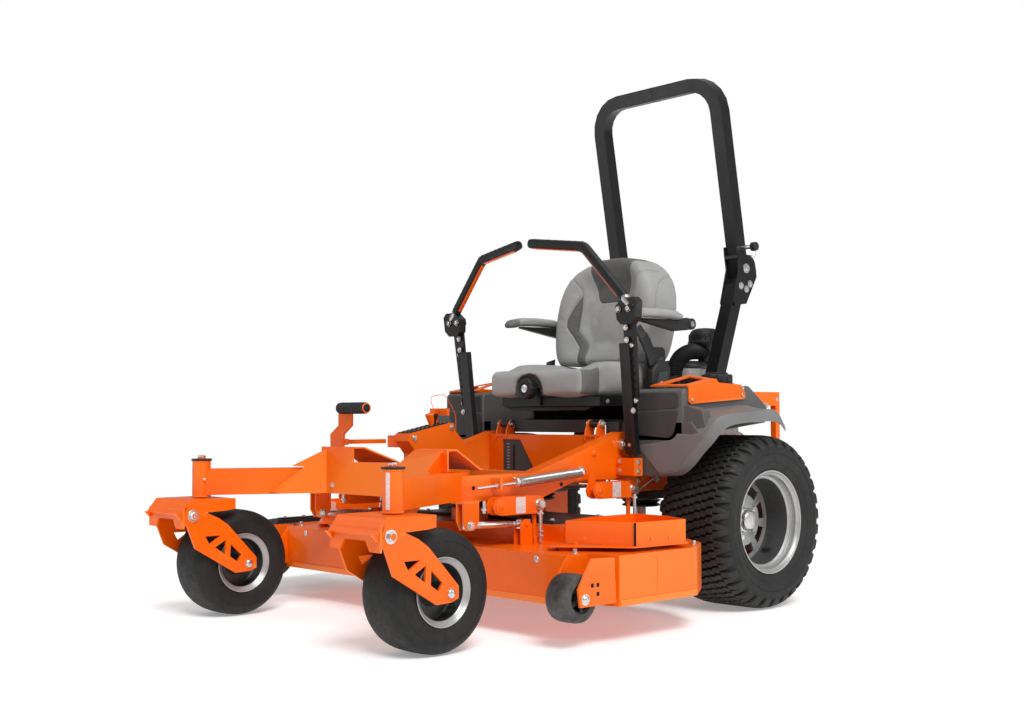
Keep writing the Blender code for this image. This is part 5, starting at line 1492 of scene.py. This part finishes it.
def make_deck():
    deck = Piece("deck_fittings")
    for side in (1, -1):
        # hanger rods between the links and the deck
        for y, z in ((-0.767, 0.36), (-0.342, 0.389)):
            deck.pin(0.0058, z - 0.262, 16, (0.3875, y, 0.246), (0, 0, 1), ZINC, side)
            for h in (0.262, 0.276, z - 0.03):
                deck.add(placed(hexagon(0.0098, 0.0068), (0.3875, y, h), (0, 0, 1)), ZINC, side)
            deck.turn([(0, 0), (0.0125, 0), (0.013, 0.002), (0.013, 0.014), (0.0115, 0.017), (0, 0.017)],
                      24, (0.38, y, z), (1, 0, 0), ZINC, side)
        # anti-scalp brackets: adjustment holes as near-black squares of painted shade, and carriage bolt
        for y, z in ((-0.957, 0.172), (-0.935, 0.172), (-0.935, 0.148)):
            deck.add(block((0.7722, y - 0.0055, z - 0.0055), (0.773, y + 0.0055, z + 0.0055), 0.0002), HOLE_SHADE,
                     side)
        deck.bolt((0.7728, ROLLER_Y, ROLLER_Z), (1, 0, 0), 0.01, 0.0068, "dome", side=side)
        deck.bolt((0.6702, ROLLER_Y, ROLLER_Z), (-1, 0, 0), 0.0088, 0.0062, "nut", side=side)
        # bolts of the folded front guard
        for x in (0.12, 0.3, 0.56):
            deck.bolt((x, -0.9553, 0.226), (0, -1, 0), 0.0062, 0.0038, "dome", side=side)
        # hold-down studs of the belt covers
        for x, y in ((0.545, -0.865), (0.66, -0.905), (0.735, -0.48)):
            deck.turn([(0, 0), (0.0105, 0), (0.011, 0.002), (0.007, 0.004), (0.0055, 0.01), (0.0062, 0.014),
                       (0, 0.015)], 20, (x, y, 0.2432), (0, 0, 1), ZINC, side)
        # spindle housings under each blade's pulley
        deck.turn([(0, 0), (0.062, 0), (0.062, 0.004), (0.04, 0.008), (0.034, 0.01), (0, 0.01)], 40,
                  (0.475, -0.585, 0.243), (0, 0, 1), BLACK, side)
        # press lines on the side skirt, and a rolled lower band
        if side > 0:
            deck.add(block((0.7748, -0.6912, 0.118), (0.7764, -0.6888, 0.236), 0.0004), ORANGE)
            deck.add(block((0.7748, -0.848, 0.105), (0.7782, -0.518, 0.123), 0.0012), ORANGE)
            deck.add(block((0.7748, -0.8505, 0.118), (0.7766, -0.8465, 0.24), 0.0005), ORANGE)
    deck.add(block((-0.64, -0.9582, 0.105), (0.66, -0.9552, 0.123), 0.001), ORANGE)
    # black belt guard over the middle of the deck
    deck.add(prism_up([(-0.33, -0.655), (-0.1, -0.655), (-0.085, -0.625), (0.085, -0.625), (0.1, -0.655),
                       (0.33, -0.655), (0.33, -0.4), (0.28, -0.372), (-0.28, -0.372), (-0.33, -0.4)],
                      0.2455, 0.3, 0.004), BLACK)
    for x in (-0.3, 0.3):
        for y in (-0.63, -0.42):
            deck.bolt((x, y, 0.3), (0, 0, 1), 0.007, 0.005)
    # idler pulley seen between the covers
    deck.turn([(0.0, 0.0), (0.03, 0.0), (0.052, 0.001), (0.056, 0.004), (0.046, 0.01), (0.046, 0.014),
               (0.056, 0.02), (0.052, 0.023), (0.03, 0.021), (0.02, 0.026), (0, 0.026)], 40,
              (0.42, -0.47, 0.262), (0, 0, 1), BLACK)
    deck.bolt((0.42, -0.47, 0.288), (0, 0, 1), 0.011, 0.008)
    # blank label on the cover's flange
    label = prism_up([(0.553, -0.833), (0.566, -0.836), (0.655, -0.792), (0.56, -0.742), (0.535, -0.748)],
                     0.2591, 0.2597, 0.0001)
    deck.add(label, LABEL)
    deck.make("deck", angle=32)

    for name, side in SIDES:
        cover = Piece("belt_cover_fittings_" + name)
        corner = Vector((0.7445, -0.7505, 0.0))
        # painted shade: a thin near-black post at the cover's corner, dark for the shade there
        cover.add(placed(block((-0.003, -0.003, 0), (0.003, 0.003, 0.064), 0.0003),
                         corner + Vector((0, 0, 0.26)), (0, 0, 1), math.radians(38)), HOLE_SHADE, side)
        for a, b, n in (((0.572, -0.8262), (0.716, -0.7555), 2), ((0.7478, -0.72), (0.7592, -0.58), 2)):
            for k in range(n):
                t = (k + 0.5) / n
                x, y = a[0] + (b[0] - a[0]) * t, a[1] + (b[1] - a[1]) * t
                out = Vector((b[1] - a[1], a[0] - b[0], 0)).normalized()
                cover.turn([(0, 0), (0.005, 0), (0.0044, 0.0018), (0, 0.0026)], 18, (x, y, 0.276), out,
                           ORANGE, side)
        cover.make("deck", angle=32)

        wheel = Piece("roller_" + name)
        centre = Vector((0.721 * side, ROLLER_Y, ROLLER_Z))

        wheel.add(moved(on_axle([(-0.0385, 0.04), (-0.0395, 0.052), (-0.038, 0.059), (-0.033, 0.0635),
                                 (-0.022, 0.0654), (0, 0.066), (0.022, 0.0654), (0.033, 0.0635),
                                 (0.038, 0.059), (0.0395, 0.052), (0.0385, 0.04), (0.03, 0.038),
                                 (-0.03, 0.038)], 72), centre), ROLLER_RUBBER)
        for way in (1, -1):
            wheel.add(moved(slotted_disc((0.0118, 0.019, 0.0345, 0.0395), 5, 8, lambda r, w=way: w * 0.0352,
                                      lambda r, w=way: w * 0.03), centre), BLACK_PLASTIC)
        wheel.add(moved(on_axle([(-0.0398, 0.0118), (-0.0398, 0.0175), (0.0398, 0.0175), (0.0398, 0.0118)],
                                32), centre), BLACK_PLASTIC)
        wheel.make("gauge_wheel_" + name, angle=35, replaces=("anti_scalp_wheel_" + name,))

    chute = Piece("chute_fittings")
    for y in (-0.88, -0.8, -0.64, -0.56):
        chute.bolt((-0.8, y, 0.2622), (0, 0, 1), 0.007, 0.0045)
    chute.add(block((-0.812, -0.905, 0.2604), (-0.788, -0.54, 0.263), 0.0008), BLACK)
    chute.make("chute", angle=32)


make_deck()


# ---------------------------------------------------------------- fenders, engine, console

def loft(rails, per=6):
    """Skins smooth curves through lists of knots, joined in a closed loop round the section."""
    curves = [smooth_path(rail, per) for rail in rails]
    size, count = len(curves), len(curves[0])
    points = [curve[i] for i in range(count) for curve in curves]
    return points, bands(count, size) + lids(count, size)


FLARE_INNER = [(0.56, 0.085, 0.65), (0.56, 0.0, 0.661), (0.56, -0.1, 0.656), (0.56, -0.2, 0.648),
               (0.558, -0.255, 0.636), (0.555, -0.295, 0.605), (0.548, -0.3175, 0.57),
               (0.525, -0.3195, 0.549), (0.49, -0.32, 0.542), (0.44, -0.32, 0.535), (0.372, -0.32, 0.527)]
FLARE_OUTER = [(0.692, 0.052, 0.592), (0.694, 0.0, 0.64), (0.694, -0.1, 0.637), (0.694, -0.2, 0.631),
               (0.692, -0.27, 0.624), (0.684, -0.305, 0.603), (0.664, -0.319, 0.572),
               (0.632, -0.3215, 0.54), (0.59, -0.322, 0.494), (0.545, -0.322, 0.452), (0.48, -0.322, 0.436)]
FLARE_EDGE = [(0.692, 0.06, 0.572), (0.694, 0.006, 0.602), (0.694, -0.1, 0.603), (0.694, -0.195, 0.598),
              (0.692, -0.25, 0.588), (0.684, -0.275, 0.57), (0.662, -0.284, 0.54), (0.628, -0.286, 0.508),
              (0.586, -0.286, 0.466), (0.543, -0.286, 0.438), (0.48, -0.286, 0.43)]


def make_fenders():
    for name, side in SIDES:
        # pod: a rounded box with a sloping rear, its front panel and two recessed panels
        pod = Piece("fender_pod_" + name)
        pod.add(side_plate([(-0.3185, 0.545), (-0.3185, 0.694), (-0.315, 0.702), (-0.306, 0.7075),
                            (-0.29, 0.7095), (0.02, 0.722), (0.034, 0.72), (0.095, 0.68), (0.128, 0.656),
                            (0.132, 0.64), (0.12, 0.628), (-0.175, 0.6), (-0.2, 0.59), (-0.262, 0.545)],
                           0.362, 0.57, 0.006), CHARCOAL, side)
        pod.add(front_plate([(0.362, 0.43), (0.474, 0.43), (0.508, 0.435), (0.535, 0.45), (0.558, 0.481),
                             (0.6, 0.525), (0.64, 0.562), (0.6, 0.606), (0.362, 0.606)], -0.3185, -0.276,
                            0.004), CHARCOAL, side)
        pod.add(placed(lathe([(0.0, 0.0), (0.06, 0.0), (0.06, 0.012), (0.056, 0.0155), (0.0, 0.0155)], 56),
                       (0.5, -0.055, 0.7148)), BLACK_PLASTIC, side)
        pod.add(front_plate([(0.376, 0.641), (0.545, 0.647), (0.552, 0.652), (0.552, 0.69), (0.546, 0.697),
                             (0.378, 0.697), (0.372, 0.692), (0.372, 0.644)], -0.3215, -0.318, 0.001),
                CHARCOAL_DARK, side)
        pod.add(front_plate([(0.376, 0.562), (0.506, 0.553), (0.522, 0.558), (0.534, 0.574), (0.55, 0.634),
                             (0.546, 0.64), (0.376, 0.634), (0.372, 0.63), (0.372, 0.566)], -0.3215, -0.318,
                            0.001), CHARCOAL_DARK, side)
        pod.add(side_plate([(-0.262, 0.545), (-0.205, 0.59), (0.12, 0.628), (0.12, 0.6), (-0.18, 0.57),
                            (-0.24, 0.53)], 0.366, 0.568, 0.001), CHARCOAL, side)
        pod.add(front_plate([(0.5, 0.53), (0.6, 0.53), (0.655, 0.575), (0.64, 0.64), (0.56, 0.66),
                             (0.5, 0.6)], -0.313, -0.276, 0.002), CHARCOAL, side)
        pod.make("chassis", bevel=0.0035, segments=3, angle=30, replaces=("fender_" + name,))

        # flare: a band that rolls over from the pod, hangs as a skirt, and turns down into the front's edge
        flare = Piece("fender_flare_" + name)

        def between(a, b, t, lift=0.0):
            made = []
            for p, q in zip(a, b):
                p, q = Vector(p), Vector(q)
                made.append(p.lerp(q, t) + Vector((0.0, -0.3 * lift if q.y < -0.3 else 0.0,
                                                   lift if q.y > -0.3 else 0.0)))
            return made

        inner_low = [Vector(p) + Vector((0.0, 0.012, -0.012)) for p in FLARE_INNER]
        edge_in = [Vector(p) + Vector((-0.006, 0.004, 0.0015)) for p in FLARE_EDGE]
        outer_in = [Vector(p) + Vector((-0.006, 0.007, -0.006)) for p in FLARE_OUTER]
        flare.add(loft([FLARE_INNER, between(FLARE_INNER, FLARE_OUTER, 0.1, -0.0015),
                        between(FLARE_INNER, FLARE_OUTER, 0.5, -0.004),
                        between(FLARE_INNER, FLARE_OUTER, 0.9, -0.0005),
                        between(FLARE_INNER, FLARE_OUTER, 0.97), between(FLARE_OUTER, FLARE_EDGE, 0.06),
                        between(FLARE_OUTER, FLARE_EDGE, 0.16), between(FLARE_OUTER, FLARE_EDGE, 0.94),
                        FLARE_EDGE, edge_in, outer_in, inner_low], 7), FLARE, side)
        flare.make("chassis", angle=48)

        plate = Piece("fender_plate_screws_" + name)
        for y, z in ((-0.283, 0.673), (-0.018, 0.716), (-0.018, 0.69)):
            plate.turn([(0, 0), (0.0062, 0), (0.0066, 0.0008), (0.0058, 0.003), (0.0034, 0.0042),
                        (0.0026, 0.0028), (0, 0.0026)], 24, (0.5771, y, z), (1, 0, 0), STEEL, side)
        plate.make("chassis", angle=35)

        cap = Piece("fuel_cap_moulded_" + name)
        centre = Vector((0.5, -0.055, 0.7305))
        rim, count = [], 96
        for k in range(count):
            a = TURN * k / count
            rim.append((a, 0.05 + 0.0022 * (1 if math.cos(9 * a) > 0.1 else -0.35)))
        levels = ((0.93, 0.0), (0.99, 0.0015), (1.0, 0.005), (1.0, 0.022), (0.98, 0.0265), (0.93, 0.029),
                  (0.84, 0.0298), (0.8, 0.027), (0.7, 0.0262))
        points = []
        for grow, z in levels:
            points += [centre + Vector((r * grow * math.cos(a), r * grow * math.sin(a), z)) for a, r in rim]
        cap.add((points, bands(len(levels), count) + lids(len(levels), count)), BLACK_PLASTIC, side)
        cap.add(placed(prism([(-0.034, -0.006), (0.034, -0.006), (0.037, 0.0), (0.034, 0.006),
                              (-0.034, 0.006), (-0.037, 0.0)], 0.0095, 0.002),
                       centre + Vector((0, 0, 0.0262)), (0, 0, 1), 0.5), BLACK_PLASTIC, side)
        cap.make("fuel_cap_" + name + "_body", angle=35, replaces=("fuel_cap_" + name,))


def make_engine():
    cleaner = Piece("air_cleaner_moulded")
    centre = Vector((0.114, 0.38, 0.0))
    bowl = [(0, 0.8255), (0.0265, 0.8255), (0.0265, 0.868), (0.03, 0.88), (0.056, 0.888), (0.064, 0.893),
            (0.0655, 0.899), (0.064, 0.902), (0.061, 0.905), (0.0605, 0.918), (0.0585, 0.93), (0.05, 0.944),
            (0.035, 0.951), (0.012, 0.9535), (0.0, 0.9535)]
    cleaner.add(placed(lathe(bowl, 56), centre), BLACK_PLASTIC)
    for k in range(18):
        a = TURN * k / 18
        cleaner.add(placed(block((-0.0016, 0.0585, 0.906), (0.0016, 0.0622, 0.928), 0.0005), centre,
                           (0, 0, 1), a), BLACK_PLASTIC)
    hose = smooth_path([(0.114, 0.372, 0.862), (0.113, 0.33, 0.864), (0.11, 0.28, 0.858),
                        (0.108, 0.235, 0.835), (0.108, 0.208, 0.795), (0.112, 0.204, 0.75),
                        (0.125, 0.215, 0.705)], 14)
    hose = evenly(hose, 0.0042)
    wave = [1.0 if i % 2 else 0.885 for i in range(len(hose))]
    cleaner.add(sweep(hose, ring_section(0.03, 22), scale=wave), SOFT_RUBBER)
    cleaner.make("chassis", angle=50, replaces=("air_cleaner",))

    engine = Piece("engine_details")
    drum = Vector((0.0, 0.335, 0.0))
    # blower housing: rings of cooling slots round a domed screen
    for k in range(40):
        a = TURN * k / 40
        engine.add(placed(block((-0.0028, 0.062, 0.8245), (0.0028, 0.118, 0.829), 0.0008), drum, (0, 0, 1),
                          a), BLACK_PLASTIC)
    engine.add(placed(lathe([(0.118, 0.824), (0.128, 0.825), (0.134, 0.8235), (0.1385, 0.817),
                             (0.1395, 0.808), (0.137, 0.802), (0.118, 0.802)], 72, True), drum), BLACK)
    engine.add(placed(lathe([(0, 0.83), (0.03, 0.8298), (0.056, 0.828), (0.062, 0.8245), (0.062, 0.82),
                             (0, 0.82)], 48), drum), BLACK_PLASTIC)
    for side in (1, -1):
        # cylinder fins and head cover
        for k in range(9):
            z = 0.52 + 0.02 * k
            engine.add(block((0.145, 0.216, z), (0.234, 0.33, z + 0.0045), 0.0008), ALLOY, side)
        engine.add(block((0.165, 0.202, 0.53), (0.23, 0.216, 0.69), 0.004), ALLOY, side)
        for x in (0.176, 0.219):
            for z in (0.545, 0.675):
                engine.bolt((x, 0.2018, z), (0, -1, 0), 0.006, 0.0045, side=side)
        # exhaust pipe to the silencer across the rear
        engine.add(sweep(filleted([(0.2, 0.33, 0.52), (0.205, 0.43, 0.5), (0.205, 0.485, 0.54),
                                   (0.15, 0.49, 0.56)], 0.03), ring_section(0.016, 20)), STEEL, side)
        engine.bolt((0.3455, 0.5, 0.495), (1, 0, 0), 0.0085, 0.006, side=side)
        engine.bolt((0.3455, 0.5, 0.685), (1, 0, 0), 0.0085, 0.006, side=side)
        for y in (0.23, 0.43):
            engine.bolt((0.3522, y, 0.66), (1, 0, 0), 0.0072, 0.0055, side=side)
    engine.turn([(0, 0), (0.044, 0.0), (0.05, 0.006), (0.05, 0.244), (0.044, 0.25), (0, 0.25)], 40,
                (-0.125, 0.452, 0.58), (1, 0, 0), STEEL)
    engine.turn([(0, 0), (0.033, 0), (0.035, 0.003), (0.035, 0.066), (0.033, 0.07), (0, 0.07)], 36,
                (-0.185, 0.235, 0.5), (0, -1, 0), ALLOY)
    engine.add(sweep(filleted([(0.1, 0.24, 0.79), (0.05, 0.205, 0.76), (-0.06, 0.203, 0.7),
                               (-0.15, 0.21, 0.66)], 0.03), ring_section(0.0055, 12)), SOFT_RUBBER)
    engine.make("chassis", angle=35)


def make_console():
    part = Piece("console_fittings")
    # ladder steps of the height gauge
    a, b = Vector((0, -0.826, 0.566)), Vector((0, -0.645, 0.602))
    along = (b - a).normalized()
    up = Vector((0, -along.z, along.y))
    count = 9
    for k in range(count):
        here = a + (b - a) * ((k + 0.7) / (count + 0.4))
        corners = [here + along * s + up * h for s, h in ((-0.0058, 0.0), (0.0058, 0.0), (0.0058, 0.003),
                                                          (-0.0058, 0.003))]
        part.add(side_plate([(p.y, p.z) for p in corners], -0.2335, -0.1675, 0.0006), BLACK_PLASTIC)
        for x in (-0.224, -0.2, -0.178):
            p = here + up * 0.0029
            part.pin(0.003, 0.0006, 12, (x, p.y, p.z), tuple(up), LABEL)
    knob = placed(lathe([(0, 0), (0.01, 0), (0.0105, 0.004), (0.0125, 0.018), (0.0165, 0.032),
                         (0.0185, 0.037), (0.018, 0.041), (0.012, 0.044), (0, 0.0448)], 36),
                  (-0.2, -0.695, 0.59), (0, 0.05, 1))
    part.add(knob, BLACK_PLASTIC)
    part.bolt((-0.1645, -0.64, 0.585), (1, 0, 0), 0.0062, 0.0045)
    part.bolt((-0.1645, -0.8, 0.552), (1, 0, 0), 0.0062, 0.0045)
    for y in (-0.745, -0.585):
        part.bolt((-0.1645, y, 0.425), (1, 0, 0), 0.007, 0.005)
    # scale ticks, and the pointer slot as a near-black plate of painted shade, in the window of the seat
    # panel
    for k in range(9):
        z = 0.44 + 0.0105 * k
        part.add(front_plate([(-0.19, z), (-0.176, z), (-0.176, z + 0.0045), (-0.19, z + 0.0045)], -0.3609,
                             -0.36, 0.0001), LABEL)
    part.add(front_plate([(-0.158, 0.436), (-0.15, 0.436), (-0.15, 0.52), (-0.154, 0.525), (-0.158, 0.52)],
                         -0.361, -0.36, 0.0002), HOLE_SHADE)
    part.add(front_plate([(-0.2085, 0.4315), (-0.06, 0.4315), (-0.06, 0.4505), (-0.1218, 0.5415),
                          (-0.2085, 0.5415)], -0.3603, -0.3598, 0.0001), CHARCOAL_DARK)
    # floor pan ribs and fasteners
    for x in (-0.14, -0.07, 0.0, 0.07, 0.14, 0.21):
        part.add(block((x - 0.005, -0.93, 0.3984), (x + 0.005, -0.6, 0.3999), 0.0006), CHARCOAL_DARK)
    for x in (-0.265, 0.265):
        for y in (-0.97, -0.8, -0.62, -0.45):
            part.bolt((x, y, 0.3988), (0, 0, 1), 0.006, 0.0038)
    for x in (-0.25, 0.25):
        part.bolt((x, -0.3632, 0.425), (0, -1, 0), 0.0065, 0.0048)
        part.bolt((x, -1.0683, 0.405), (0, -1, 0), 0.0065, 0.0048)
    part.make("chassis", angle=32)

    pedal = Piece("lift_pedal_grip")
    pedal.turn([(0, 0), (0.016, 0), (0.018, 0.002), (0.0184, 0.006), (0.0176, 0.01), (0.0178, 0.128),
                (0.0184, 0.134), (0.0176, 0.14), (0.012, 0.143), (0, 0.143)], 36, (-0.2825, -1.016, 0.65),
               (1, 0, 0), SOFT_RUBBER)
    for k in range(14):
        x = -0.268 + 0.0085 * k
        pedal.add(placed(lathe([(0.0172, -0.0014), (0.0188, -0.0004), (0.0188, 0.0004), (0.0172, 0.0014)],
                               32, True), (x, -1.016, 0.65), (1, 0, 0)), SOFT_RUBBER)
    pedal.bolt((-0.3175, -1.0043, 0.492), (0, -1, 0), 0.008, 0.0055)
    pedal.make("pedal", angle=35)


make_fenders()
make_engine()
make_console()
